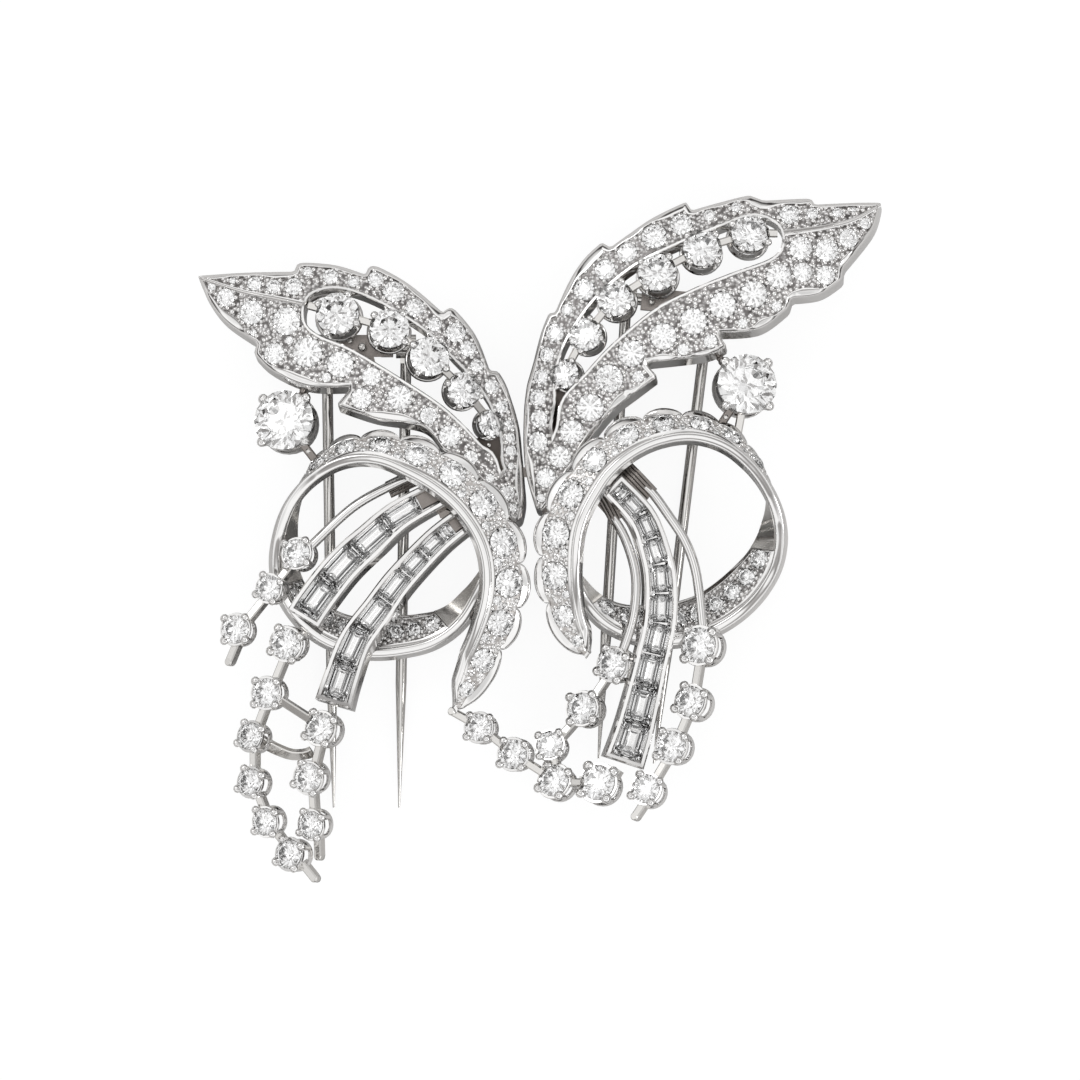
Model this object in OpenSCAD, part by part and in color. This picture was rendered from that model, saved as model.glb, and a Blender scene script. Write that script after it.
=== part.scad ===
// Double pin brooch: two leaf-and-scroll halves held side by side, each with a double pin.
// Lies face up on its pins. +X is the viewer's right, +Y is up the leaves, +Z is out of the face.

/* [Leaf] */
// Depth of the leaf's side wall
leaf_depth = 1.9; // [1.5:0.1:2.2]
// How far the wall splays for each millimetre of depth
leaf_splay = 0.3; // [0:0.05:0.35]
// Fall of the leaf's surface away from its spine, millimetres per millimetre
leaf_roof = 0.16; // [0.05:0.01:0.2]
// Rise of the leaf's lower lobe, millimetres per millimetre from the spine
leaf_tilt = 0.14; // [0:0.01:0.2]
// Width of the polished rims
leaf_rim = 0.32; // [0.26:0.02:0.4]
// Depth of the tray that holds the small stones
tray_depth = 0.75; // [0.6:0.05:0.9]

/* [Scroll] */
// Half thickness of the scroll's band
band_half = 0.4; // [0.3:0.05:0.5]
// Half width of the polished rim bead
bead_half = 0.5; // [0.4:0.05:0.6]
// Bulge of each scallop beyond the notches
scallop_bulge = 0.75; // [0.3:0.05:0.9]

/* [Ribbons] */
// Depth of the channel
ribbon_depth = 1.6; // [1.2:0.1:1.8]
// Width of each channel wall
ribbon_wall = 0.75; // [0.5:0.05:0.9]

/* [Collets and claws] */
// Height of a spray collet below the stone's girdle
collet_depth = 1.6; // [1.2:0.1:2]
// Radius of a claw
claw_r = 0.2; // [0.15:0.01:0.25]
// Width of the flat bars that join the collets
bar_w = 0.8; // [0.6:0.05:1]
// Radius of the plain wires
wire_r = 0.42; // [0.35:0.01:0.5]

/* [Pins] */
// Diameter of each pin stem
stem_d = 1.1; // [0.9:0.05:1.2]
// Length of the straight part of a stem
stem_straight = 34; // [28:1:36]
// Length of the tapering point
stem_point = 12.5; // [8:0.5:14]
// Length of the squared root of each stem, from the hinge axis
stem_root = 1.7; // [1.6:0.1:2.4]
// Diameter of the hinge axle
axle_d = 1.2; // [1:0.1:1.4]
// Diameter of the hinge knuckles
knuckle_d = 2.4; // [2.2:0.1:2.8]
// Clearance round the axle in its ears
axle_gap = 0.05; // [0.03:0.01:0.1]

/* [Hidden] */
metal = [0.82, 0.83, 0.85];
stone = [0.93, 0.96, 0.98];
// Girdle heights of the sprays and of the solitaires
short_z = 7.4;
long_z = 6.4;
outer_z = 7.3;
inner_z = 7.1;
solitaire_z = 7.2;
// Gap kept between soldered neighbours that are separate nodes
seam = 0.08;

// Leaf edges from the tip to the root: x, y, and the share of the way along the opening that faces the point
LEFT_UPPER = [
    [-34.2, 26.4, 0], [-29.5, 26.7, 0.01], [-24.5, 26.8, 0.03],
    [-24.3, 27.6, 0.05], [-23.1, 27.7, 0.08], [-20.2, 27.4, 0.17], [-17.4, 26.5, 0.25],
    [-17.2, 27.2, 0.26], [-16.2, 27.3, 0.29], [-13.0, 25.5, 0.4], [-9.7, 22.7, 0.52],
    [-9.3, 23.1, 0.54], [-8.5, 23.0, 0.57], [-6.4, 20.4, 0.66], [-5.0, 16.9, 0.76],
    [-4.2, 16.9, 0.78], [-3.3, 15.3, 0.82], [-2.5, 11.9, 0.89], [-2.1, 6.2, 0.97], [-2.1, 2.9, 0.99]
];
LEFT_LOWER = [
    [-33.2, 24.1, 0.01], [-31.4, 21.8, 0.02], [-28.2, 19.6, 0.04],
    [-28.6, 18.6, 0.05], [-26.8, 16.9, 0.09], [-23.1, 15.3, 0.18], [-18.8, 15.2, 0.3],
    [-20.4, 13.4, 0.31], [-16.5, 12.1, 0.42], [-11.7, 11.2, 0.58], [-9.6, 8.8, 0.72],
    [-6.4, 6.4, 0.86], [-4.4, 4.4, 0.96], [-3.1, 2.1, 0.99]
];
RIGHT_UPPER = [
    [34.1, 33.7, 0], [31.7, 33.7, 0.01], [27.4, 33.5, 0.03],
    [27.2, 34.0, 0.04], [26.4, 34.1, 0.05], [22.3, 33.9, 0.12],
    [21.3, 34.3, 0.14], [20.7, 34.4, 0.16], [17.9, 33.7, 0.22], [15.1, 32.9, 0.3],
    [14.7, 33.6, 0.32], [14.4, 33.7, 0.33], [11.3, 32.2, 0.42], [8.8, 30.5, 0.5], [7.0, 29.2, 0.55],
    [6.2, 29.8, 0.57], [4.4, 28.1, 0.62], [2.9, 25.8, 0.69], [1.5, 22.7, 0.77],
    [0.9, 22.7, 0.78], [0.1, 20.7, 0.82], [-0.7, 17.6, 0.89],
    [-1.3, 15.6, 0.92], [-1.4, 13.0, 0.95], [-1.4, 9.2, 0.97], [-1.1, 6.2, 0.98], [-0.7, 3.4, 0.99]
];
RIGHT_LOWER = [
    [33.2, 30.9, 0.01], [30.2, 27.1, 0.02],
    [30.2, 26.0, 0.03], [27.9, 24.5, 0.06], [25.0, 24.1, 0.1],
    [24.8, 23.1, 0.12], [21.8, 21.0, 0.22], [18.2, 20.6, 0.33],
    [18.4, 19.3, 0.34], [16.4, 18.4, 0.4], [11.8, 17.8, 0.54],
    [11.8, 16.2, 0.56], [9.8, 14.8, 0.63], [7.5, 13.0, 0.72], [5.4, 10.5, 0.8],
    [2.6, 6.4, 0.93], [0.3, 2.8, 0.99]
];
// The two sides of each leaf's opening, from its round end to its slit end
LEFT_OPENING_UP = [
    [-23.4, 23.4], [-22.6, 24.7], [-19.9, 25.2], [-16.0, 23.9], [-11.4, 21.0],
    [-6.7, 17.2], [-5.0, 14.5], [-3.9, 11.5], [-3.8, 9.0], [-4.2, 7.2]
];
LEFT_OPENING_LOW = [
    [-23.4, 23.4], [-23.3, 21.6], [-21.9, 20.4], [-18.8, 19.1], [-14.4, 16.5], [-10.1, 13.7],
    [-7.6, 11.3], [-5.5, 8.7], [-4.2, 7.2]
];
RIGHT_OPENING_UP = [
    [24.1, 29.6], [23.6, 31.6], [21.3, 32.9], [18.0, 32.0], [13.9, 30.3], [9.3, 28.0],
    [5.2, 25.0], [2.3, 20.5], [0.6, 16.5], [0.4, 13.2], [1.2, 10.8]
];
RIGHT_OPENING_LOW = [
    [24.1, 29.6], [23.0, 28.1], [19.0, 26.6], [15.1, 25.0], [11.3, 23.0], [7.0, 19.2],
    [4.5, 16.4], [2.3, 13.6], [1.2, 10.8]
];
// Spines from the tip to the root: x, y, height of the surface
LEFT_SPINE = [
    [-34.2, 26.4, 7.2], [-28.0, 24.8, 8.2], [-23.4, 23.4, 8.8], [-18.5, 21.6, 9.1], [-13.5, 18.8, 9.0],
    [-8.6, 14.6, 8.4], [-5.0, 9.8, 7.6], [-4.0, 7.0, 7.2], [-3.0, 2.1, 6.7]
];
RIGHT_SPINE = [
    [34.1, 33.7, 7.2], [29.2, 31.4, 8.2], [24.1, 29.6, 8.8], [18.8, 28.6, 9.1], [13.2, 26.6, 9.1],
    [7.6, 22.6, 8.9], [3.6, 18.0, 8.3], [1.4, 13.2, 7.8], [1.2, 10.8, 7.5], [-0.1, 2.6, 6.7]
];
// Small stones of each leaf: x, y, wanted radius
LEFT_LEAF_STONES = [
    [-31.5, 24.1, 0.75], [-28.8, 22.8, 0.95], [-25.6, 21.6, 1.15], [-26.3, 18.7, 0.85], [-23.2, 18.5, 1.2],
    [-20.1, 17.4, 1.1], [-17.2, 16.3, 0.95], [-17.8, 14.0, 0.9], [-14.1, 14.0, 1.15], [-11.2, 12.6, 0.9],
    [-9.0, 10.6, 1.0], [-6.9, 8.2, 0.85], [-5.0, 6.3, 0.75], [-3.3, 5.0, 0.7], [-2.9, 3.4, 0.5],
    [-30.6, 25.8, 0.55], [-27.7, 25.4, 0.8], [-24.9, 25.6, 0.8], [-22.9, 26.3, 0.7], [-20.6, 26.4, 0.7],
    [-18.2, 25.7, 0.7], [-16.4, 25.7, 0.8], [-14.4, 24.6, 0.95], [-12.2, 23.2, 0.95], [-10.2, 21.5, 0.75],
    [-8.4, 20.9, 0.85], [-7.2, 19.0, 0.75], [-5.0, 16.0, 0.6], [-4.1, 14.6, 0.6], [-3.2, 11.4, 0.45],
    [-3.1, 8.9, 0.5], [-28.7, 20.9, 0.5], [-21.6, 16.6, 0.5], [-12.6, 12.2, 0.45]
];
RIGHT_LEAF_STONES = [
    [31.6, 32.6, 0.6], [29.2, 32.4, 0.75], [27.0, 32.1, 0.9], [24.9, 32.5, 0.8], [22.9, 33.1, 0.5],
    [18.9, 33.1, 0.6], [16.3, 32.3, 0.6], [13.9, 32.0, 0.85], [11.7, 30.6, 0.9], [9.6, 29.4, 0.85],
    [7.5, 28.0, 0.85], [5.4, 26.7, 0.85], [3.8, 24.7, 0.85], [2.6, 22.7, 0.75], [1.4, 20.8, 0.75],
    [0.5, 18.6, 0.75], [-0.3, 16.0, 0.65], [-0.5, 13.5, 0.65], [-0.2, 11.2, 0.75], [0.1, 9.0, 0.95],
    [31.2, 30.4, 0.75], [29.1, 28.7, 0.95], [26.5, 27.2, 1.15], [28.4, 26.2, 0.8], [23.6, 25.6, 1.1],
    [20.9, 24.3, 1.15], [18.1, 23.0, 1.15], [22.4, 22.9, 0.8], [15.2, 21.6, 1.15], [12.4, 20.2, 1.15],
    [16.3, 19.8, 0.75], [9.7, 18.0, 1.2], [7.3, 15.6, 1.2], [10.2, 16.0, 0.6],
    [5.0, 13.2, 1.2], [3.2, 10.8, 0.95], [2.1, 8.3, 0.9], [0.6, 6.0, 0.8], [0.0, 4.1, 0.6]
];
// Round stones in each leaf's opening: x, y, radius
LEFT_ROW = [[-20.2, 22.7, 1.95], [-15.2, 20.9, 1.7], [-11.4, 18.0, 1.6], [-7.6, 15.0, 1.5], [-5.6, 11.3, 1.2]];
RIGHT_ROW = [
    [20.9, 30.5, 1.7], [16.2, 28.9, 1.75], [11.6, 26.5, 1.7], [7.5, 23.9, 1.6], [4.6, 20.5, 1.5], [2.7, 16.5, 1.3]
];

// Scrolls from the crescent's point round the ring: sweep angle, rim radius, rim height, reach outwards, reach upwards
LEFT_SCROLL_CENTRE = [-15.8, -1.6];
LEFT_SCROLL = [
    [-65, 16.7, 7.8, 0.3, -0.1], [-60, 14.8, 8.7, 1.9, -0.6], [-50, 13.0, 9.6, 3.0, -1.1], [-35, 11.8, 10.2, 3.3, -1.4],
    [-15, 10.9, 10.4, 3.6, -1.5], [5, 10.1, 10.4, 3.6, -1.5], [27, 9.2, 10.2, 3.6, -1.5], [50, 8.7, 10.0, 3.4, -1.5],
    [73, 8.8, 9.7, 3.0, -1.7], [96, 9.7, 9.3, 2.2, -2.1], [113, 10.2, 8.8, 1.9, -2.4], [130, 10.4, 8.1, 1.0, -2.7],
    [151, 10.5, 7.0, -0.6, -2.7], [171, 10.5, 5.7, -1.6, -2.5], [195, 10.7, 4.9, -2.1, -2.2], [225, 10.4, 4.6, -2.9, -2.1],
    [255, 9.9, 4.6, -3.3, -2.0], [280, 9.7, 4.6, -3.5, -2.0], [302, 10.1, 4.7, -3.1, -2.0], [320, 10.4, 4.9, -2.0, -1.9],
    [335, 10.4, 5.1, -0.9, -1.0]
];
LEFT_NOTCHES = [-65, -54, -38, -20, -1, 17, 38, 60, 81, 100, 124];
RIGHT_SCROLL_CENTRE = [13.8, 0.3];
RIGHT_SCROLL = [
    [-53, 14.5, 7.8, 0.3, -0.1], [-46, 13.3, 8.7, 1.8, -0.6], [-31, 11.8, 9.7, 3.1, -1.1], [-14, 10.6, 10.3, 3.5, -1.4],
    [6, 9.9, 10.4, 3.6, -1.5], [26, 9.4, 10.3, 3.4, -1.5], [40, 9.4, 10.2, 3.1, -1.5], [61, 9.5, 10.0, 2.9, -1.6],
    [83, 9.8, 9.7, 2.4, -1.9], [99, 10.1, 9.4, 2.0, -2.1], [117, 10.2, 9.0, 1.6, -2.3], [135, 10.1, 8.5, 1.0, -2.6],
    [156, 10.1, 7.8, 0.0, -2.7], [172, 10.2, 7.0, -1.5, -2.5], [195, 10.2, 6.0, -3.0, -2.4], [212, 10.0, 5.5, -3.6, -2.3],
    [230, 9.9, 4.9, -3.8, -2.1], [248, 10.0, 4.6, -3.8, -2.0], [270, 10.4, 4.6, -3.8, -2.0], [296, 11.0, 4.6, -3.3, -2.0],
    [310, 11.3, 4.9, -2.3, -1.9], [323, 11.4, 5.1, -1.0, -1.0]
];
RIGHT_NOTCHES = [-53, -42, -26, -8, 11, 32, 53, 73, 92, 111, 130];

// Ribbon centre lines from the free end: x, y, height of the channel's top, width
LEFT_UPPER_RIBBON = [
    [-23.7, -7.9, 7.2, 3.7], [-22.4, -5.9, 7.4, 3.7], [-19.8, -2.6, 7.5, 3.6], [-16.9, 0.1, 7.5, 3.4],
    [-14.1, 2.5, 7.5, 3.1], [-9.8, 4.9, 7.3, 2.8]
];
LEFT_UPPER_CUTS = [3.5, 3.8, 3.7, 3.5];
LEFT_LOWER_RIBBON = [
    [-20.7, -16.4, 6.6, 3.8], [-19.9, -13.8, 7.0, 3.6], [-18.5, -10.1, 7.4, 3.4], [-16.2, -6.9, 7.5, 3.2],
    [-14.0, -3.9, 7.5, 3.0], [-10.3, 0.0, 7.4, 2.8], [-7.2, 2.4, 7.2, 2.6]
];
LEFT_LOWER_CUTS = [3.6, 3.7, 3.6, 3.3, 2.6, 2.4];
RIGHT_RIBBON = [
    [8.4, -22.3, 6.6, 4.2], [9.4, -19.2, 7.0, 3.9], [10.4, -15.3, 7.4, 3.6], [11.2, -11.9, 7.5, 3.4],
    [12.0, -8.2, 7.5, 3.4], [12.1, -4.1, 7.5, 3.3], [11.5, -1.1, 7.5, 3.1], [10.2, 2.3, 7.4, 2.9], [7.2, 5.6, 7.2, 2.7]
];
RIGHT_CUTS = [3.6, 3.5, 3.3, 3.1, 2.9, 2.8, 2.6, 2.5, 2.3];

// Spray stones: x, y, radius, and the lean of the head
LEFT_SHORT = [[-24.4, -1.3, 1.45], [-27.2, -4.8, 1.35], [-30.5, -8.9, 1.45]];
LEFT_LONG = [
    [-25.5, -10.4, 1.6], [-27.5, -15.3, 1.5], [-29.1, -19.6, 1.4], [-29.1, -24.2, 1.4], [-27.6, -28.2, 1.4],
    [-25.2, -31.4, 1.5], [-22.1, -18.8, 1.6], [-23.3, -23.8, 1.5], [-23.0, -28.5, 1.4]
];
LEFT_LONG_BARS = [[0, 1], [1, 2], [2, 3], [3, 4], [4, 5], [1, 6], [6, 7], [7, 8], [2, 7]];
RIGHT_OUTER = [[15.8, -10.5, 1.8], [14.9, -16.1, 1.6], [13.0, -20.6, 1.6], [10.5, -24.8, 1.5]];
RIGHT_INNER = [
    [7.1, -12.4, 1.6], [4.1, -16.8, 1.6], [0.9, -20.4, 1.4], [-6.2, -18.7, 1.4], [-2.8, -21.4, 1.5],
    [1.3, -24.0, 1.6], [5.7, -24.2, 1.8]
];
RIGHT_INNER_BARS = [[0, 1], [1, 2], [2, 5], [3, 4], [4, 5], [5, 6]];
left_lean = [-0.24, 0.1];
right_lean = [-0.16, 0.12];
// Plain wires from the frame to the sprays: x, y, z
LEFT_WIRE = [[-11.0, 7.2, 6.1], [-14.8, 5.5, 6.4], [-18.8, 3.2, 6.6]];
RIGHT_OUTER_WIRE = [
    [8.4, 8.8, 6.0], [9.7, 6.5, 6.2], [11.1, 4.8, 6.4], [12.9, 2.4, 6.6], [14.4, 0.1, 6.6], [15.4, -2.4, 6.6],
    [15.9, -5.2, 6.5]
];
RIGHT_INNER_WIRE = [[5.4, 3.6, 6.0], [7.3, 1.7, 6.2], [8.5, -0.2, 6.3], [9.4, -2.6, 6.3], [9.6, -5.2, 6.3], [9.2, -8.2, 6.2]];

LEFT_SOLITAIRE = [-25.6, 11.9, 2.95];
RIGHT_SOLITAIRE = [20.7, 15.6, 2.95];
LEFT_SOLITAIRE_ARM = [-22.9, 9.6];
RIGHT_SOLITAIRE_ARM = [18.4, 12.9];

// Back frames: x, y of the carrier bar's corners, from the hinge to below the crescent
LEFT_CARRIER = [[-17.5, 18.6], [-16.4, 14.8], [-11.0, 12.2], [-6.4, 7.6], [-4.2, 3.4], [-3.6, -2.4], [-5.2, -8.8]];
RIGHT_CARRIER = [[12.8, 23.2], [12.6, 19.6], [8.8, 16.4], [4.0, 10.4], [1.9, 4.4], [1.8, -1.6], [3.6, -7.0]];
carrier_z = 2.6;
carrier_h = 1.0;
carrier_w = 1.4;
// Arms from the carriers up to the ribbons' roots
LEFT_ROOT_ARM = [[-5.4, 5.6, 3.3], [-9.2, 4.6, 4.9]];
RIGHT_ROOT_ARM = [[2.9, 8.0, 3.3], [7.4, 5.2, 4.9]];
// Posts from the carriers to what they hold: x, y, height of the top
LEFT_POSTS = [[-16.4, 14.8, 6.1], [-11.0, 12.2, 5.9], [-6.4, 7.6, 5.1], [-3.6, -2.4, 8.2], [-5.2, -8.8, 7.6]];
RIGHT_POSTS = [[12.6, 19.6, 6.0], [8.8, 16.4, 5.9], [4.0, 10.4, 5.2], [1.8, -1.6, 8.2], [3.6, -7.0, 8.0]];

// Hinges: middle of the axle, turn about Z, distance between the knuckles, distance between the stem tips
LEFT_HINGE = [-17.5, 19.5, 0, 8.0, 6.6];
RIGHT_HINGE = [12.9, 24.0, -5.2, 8.4, 5.6];
hinge_z = knuckle_d / 2;
stem_r = stem_d / 2;
// The stem lies a hair above the knuckle's lowest line
stem_z = stem_r + 0.05;

// Small helpers
function unit(v) = v / norm(v);
function flat(p) = [p[0], p[1]];
function row_at(tab, i) = tab[min(max(i, 0), len(tab) - 1)];
// Smooth curve through the rows of a table, t counting rows
function smooth(tab, t) =
    let(
        i = min(floor(t), len(tab) - 2), f = t - i,
        a = row_at(tab, i - 1), b = row_at(tab, i), c = row_at(tab, i + 1), d = row_at(tab, i + 2)
    )
    0.5 * (2 * b + (c - a) * f + (2 * a - 5 * b + 4 * c - d) * f * f + (3 * b - a - 3 * c + d) * f * f * f);
// Straight-line walk along a list of points, share from 0 to 1 by row
function along(points, share) =
    let(t = share * (len(points) - 1), i = min(floor(t), len(points) - 2), f = t - i)
    points[i] * (1 - f) + points[i + 1] * f;
// Share of the nearest point on the segment from a to b
function nearest_share(p, a, b) =
    let(ab = b - a, s = ((p - a) * ab) / (ab * ab)) min(max(s, 0), 1);
function distance_to_segment(p, a, b) = norm(p - a - (b - a) * nearest_share(p, a, b));
function distance_to_line(p, line) =
    min([for (i = [0:len(line) - 2]) distance_to_segment(p, flat(line[i]), flat(line[i + 1]))]);
function smallest_index(values) = search(min(values), values)[0];

// Skin of four-cornered faces over rings of points, split into triangles
module skin(rings, looped, cap_triangles, inside_out) {
    n = len(rings);
    m = len(rings[0]);
    sides = [for (i = [0:n - (looped ? 1 : 2)], j = [0:m - 1], half = [0, 1])
        let(k = (i + 1) % n, j2 = (j + 1) % m)
        half == 0 ? [i * m + j, i * m + j2, k * m + j2] : [i * m + j, k * m + j2, k * m + j]];
    caps = looped ? [] : concat(
        [for (f = cap_triangles) [f[2], f[1], f[0]]],
        [for (f = cap_triangles) [for (v = f) (n - 1) * m + v]]
    );
    faces = concat(sides, caps);
    polyhedron(
        points = [for (r = rings, p = r) p],
        faces = inside_out ? faces : [for (f = faces) [f[2], f[1], f[0]]]
    );
}

// Turns the Z axis to a direction
module point_along(direction) {
    d = unit(direction);
    rotate(a = acos(d[2]), v = [-d[1], d[0], 0.000001]) children();
}

// Round stone with a table, a crown and a pavilion down to a point
module cut_stone(r, sides, depth) {
    table_r = 0.58 * r;
    table_z = 0.3 * r;
    ring = [for (i = [0:sides - 1]) (i + 0.5) * 360 / sides];
    polyhedron(
        points = concat(
            [for (a = ring) [table_r * cos(a), table_r * sin(a), table_z]],
            [for (a = ring) [r * cos(a), r * sin(a), 0]],
            [[0, 0, -depth]]
        ),
        faces = concat(
            [[for (i = [sides - 1:-1:0]) i]],
            [for (i = [0:sides - 1]) let(k = (i + 1) % sides) [i, k, sides + k, sides + i]],
            [for (i = [0:sides - 1]) let(k = (i + 1) % sides) [sides + i, sides + k, 2 * sides]]
        )
    );
}

// Step-cut baguette with a table and a keel, length along X
module baguette(length, width) {
    step = 0.28 * width;
    table_z = 0.16 * width;
    keel_z = -0.42 * width;
    corners = [[-1, -1], [1, -1], [1, 1], [-1, 1]];
    polyhedron(
        points = concat(
            [for (c = corners) [c[0] * (length / 2 - step), c[1] * (width / 2 - step), table_z]],
            [for (c = corners) [c[0] * length / 2, c[1] * width / 2, 0]],
            [[-length / 2 + 1.4 * step, 0, keel_z], [length / 2 - 1.4 * step, 0, keel_z]]
        ),
        faces = [
            [3, 2, 1, 0], [0, 1, 5, 4], [1, 2, 6, 5], [2, 3, 7, 6], [3, 0, 4, 7],
            [4, 5, 9, 8], [6, 7, 8, 9], [5, 6, 9], [7, 4, 8]
        ]
    );
}

// Leaf surface: height at a point, from the spine
function spine_hits(p, spine) = [for (i = [0:len(spine) - 2])
    distance_to_segment(p, flat(spine[i]), flat(spine[i + 1]))];
function leaf_height(p, spine, low_side) =
    let(
        hits = spine_hits(p, spine), i = smallest_index(hits),
        a = spine[i], b = spine[i + 1], s = nearest_share(p, flat(a), flat(b)),
        run = flat(b) - flat(a), off = p - flat(a),
        side = sign(run[0] * off[1] - run[1] * off[0]) * low_side
    )
    a[2] * (1 - s) + b[2] * s - leaf_roof * hits[i] + leaf_tilt * side * hits[i];
function leaf_normal(p, spine, low_side) =
    let(e = 0.4)
    unit([
        leaf_height(p - [e, 0], spine, low_side) - leaf_height(p + [e, 0], spine, low_side),
        leaf_height(p - [0, e], spine, low_side) - leaf_height(p + [0, e], spine, low_side),
        2 * e
    ]);

// One cross-section of the leaf between an edge point and the opening
function leaf_section(edge, hole, spine, low_side, splay) =
    let(
        e = unit(hole - edge), span = norm(hole - edge),
        rim = min(leaf_rim, 0.26 * span), step = rim * 1.25,
        ze = leaf_height(edge, spine, low_side), zh = leaf_height(hole, spine, low_side),
        down = splay * leaf_depth,
        put = function(p, z) [p[0], p[1], z]
    )
    [
        put(edge + down, ze - leaf_depth), put(edge, ze), put(edge + e * rim, ze + 0.05),
        put(edge + e * step, ze - tray_depth), put(hole - e * step, zh - tray_depth),
        put(hole - e * rim, zh + 0.2), put(hole, zh + 0.2), put(hole + down, zh - leaf_depth)
    ];

module leaf(upper, lower, open_up, open_low, spine, low_side, splay, inside_out) {
    sections = concat(
        [for (r = upper) leaf_section(flat(r), along(open_up, r[2]), spine, low_side, splay)],
        [for (i = [len(lower) - 1:-1:0])
            leaf_section(flat(lower[i]), along(open_low, lower[i][2]), spine, low_side, splay)]
    );
    color(metal) skin(sections, true, [], inside_out);
}

// Radius that fits between the rims and the neighbours
function fitted(i, stones, edges, openings) =
    let(
        p = flat(stones[i]), reach = leaf_rim + seam,
        to_edge = min([for (e = edges) distance_to_line(p, e)]) - reach,
        to_hole = min([for (o = openings) distance_to_line(p, o)]) - reach,
        to_next = min([for (j = [0:len(stones) - 1]) if (j != i)
            (norm(flat(stones[j]) - p) - 0.12) * stones[i][2] / max(stones[i][2] + stones[j][2], 0.1)])
    )
    min([stones[i][2], to_edge, to_hole, to_next]);

module leaf_stones(stones, upper, lower, open_up, open_low, spine, low_side) {
    for (i = [0:len(stones) - 1]) {
        r = fitted(i, stones, [upper, lower], [open_up, open_low]);
        p = flat(stones[i]);
        depth = tray_depth - 0.25;
        if (r > 0.3)
            color(stone)
            translate([p[0], p[1], leaf_height(p, spine, low_side) - 0.05])
            point_along(leaf_normal(p, spine, low_side))
            cut_stone(r, 8, depth);
    }
}

// Cup below a stone's girdle, its hollow clear of the pavilion
module collet(r, depth) {
    rotate_extrude($fn = 48) polygon([
        [r - 0.02, -0.12], [r + 0.15, -0.12], [r + 0.13, -0.55], [0.72 * r, -depth],
        [0.5 * r, -depth]
    ]);
}

module claw(height, depth, thick) {
    rotate_extrude($fn = 24) polygon([
        [0, -depth], [thick, -depth], [thick, 0.6 * height], [0.7 * thick, height], [0, 1.1 * height]
    ]);
}

// Collet with four claws, origin at the middle of the girdle
module claw_head(r, depth, thick, turn) {
    collet(r, depth);
    for (a = [45:90:315])
        rotate([0, 0, a + turn]) translate([r + thick + 0.06, 0, 0]) claw(0.34 * r, 0.6 * depth, thick);
}

// Flat bar between two points
module bar(p, q, width, height) {
    d = q - p;
    translate(p)
    rotate([0, -asin(d[2] / norm(d)), atan2(d[1], d[0])])
    translate([0, -width / 2, -height / 2]) cube([norm(d), width, height]);
}

module row_setting(row, spine, low_side, end_point) {
    color(metal) {
        for (r = row)
            translate([r[0], r[1], leaf_height(flat(r), spine, low_side)]) collet(r[2], 1.5);
        for (i = [0:len(row) - 2]) row_bar(row[i], row[i + 1], 0.72 * row[i + 1][2], spine, low_side);
        row_bar(row[0], [end_point[0], end_point[1], 0], 0.4, spine, low_side);
    }
}

module row_bar(a, b, stop, spine, low_side) {
    d = unit(flat(b) - flat(a));
    p = flat(a) + d * 0.72 * a[2];
    q = flat(b) - d * stop;
    drop = 1.0;
    bar(
        [p[0], p[1], leaf_height(flat(a), spine, low_side) - drop],
        [q[0], q[1], leaf_height(flat(b), spine, low_side) - drop], bar_w, 0.6
    );
}

module row_stones(row, spine, low_side) {
    color(stone)
    for (r = row)
        translate([r[0], r[1], leaf_height(flat(r), spine, low_side)]) cut_stone(r[2], 10, 0.8 * r[2]);
}

// Scroll: a row of its table at a sweep angle
function scroll_row(tab, a) = smooth(tab, lookup(a, [for (i = [0:len(tab) - 1]) [tab[i][0], i]]));
function ray(a, hand) = [hand * cos(a), sin(a), 0];
function rim_point(row, a, centre, hand) = [centre[0], centre[1], row[2]] + row[1] * ray(a, hand);
function band_along(row, a, hand) = row[3] * ray(a, hand) + [0, 0, row[4]];
function band_across(row, a, hand) = unit(-row[4] * ray(a, hand) + [0, 0, row[3]]);
// Bulge of the scalloped edge at an angle: none at a notch, full between
function scallop(a, notches) =
    let(k = [for (i = [0:len(notches) - 2]) if (a >= notches[i] && a <= notches[i + 1]) i])
    len(k) == 0 ? 0
    : let(i = k[0], f = (a - notches[i]) / (notches[i + 1] - notches[i]))
    scallop_bulge * sqrt(max(0, sin(180 * f)));

function scroll_section(tab, a, centre, hand, notches) =
    let(
        row = scroll_row(tab, a), p = rim_point(row, a, centre, hand),
        b = unit(band_along(row, a, hand)), n = band_across(row, a, hand),
        width = norm(band_along(row, a, hand)) + scallop(a, notches),
        k = min(1, width / 1.4), bead = bead_half * k, plate = band_half * k, crown = 1.3 * bead,
        reach = max(width, bead * 1.3),
        put = function(u, v) p + b * u + n * v
    )
    [
        put(-bead, -0.6 * bead), put(-bead, 0.6 * bead), put(-0.4 * bead, crown), put(0.4 * bead, crown),
        put(bead, plate), put(reach, plate), put(reach, -plate), put(bead, -plate),
        put(0.4 * bead, -crown), put(-0.4 * bead, -crown)
    ];

SCROLL_CAP = [[0, 1, 2], [0, 2, 3], [0, 3, 4], [0, 4, 7], [0, 7, 8], [0, 8, 9], [4, 5, 6], [4, 6, 7]];
// Stations: four to a scallop, then even steps round the ring
function scroll_stations(tab, notches) =
    let(last = notches[len(notches) - 1], finish = tab[len(tab) - 1][0], steps = 20)
    concat(
        [for (i = [0:len(notches) - 2], f = [0, 0.12, 0.5, 0.88]) notches[i] * (1 - f) + notches[i + 1] * f],
        [for (i = [0:steps]) last + (finish - last) * i / steps]
    );

module scroll(tab, centre, hand, notches) {
    color(metal)
    skin([for (a = scroll_stations(tab, notches)) scroll_section(tab, a, centre, hand, notches)],
        false, SCROLL_CAP, hand < 0);
}

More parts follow.
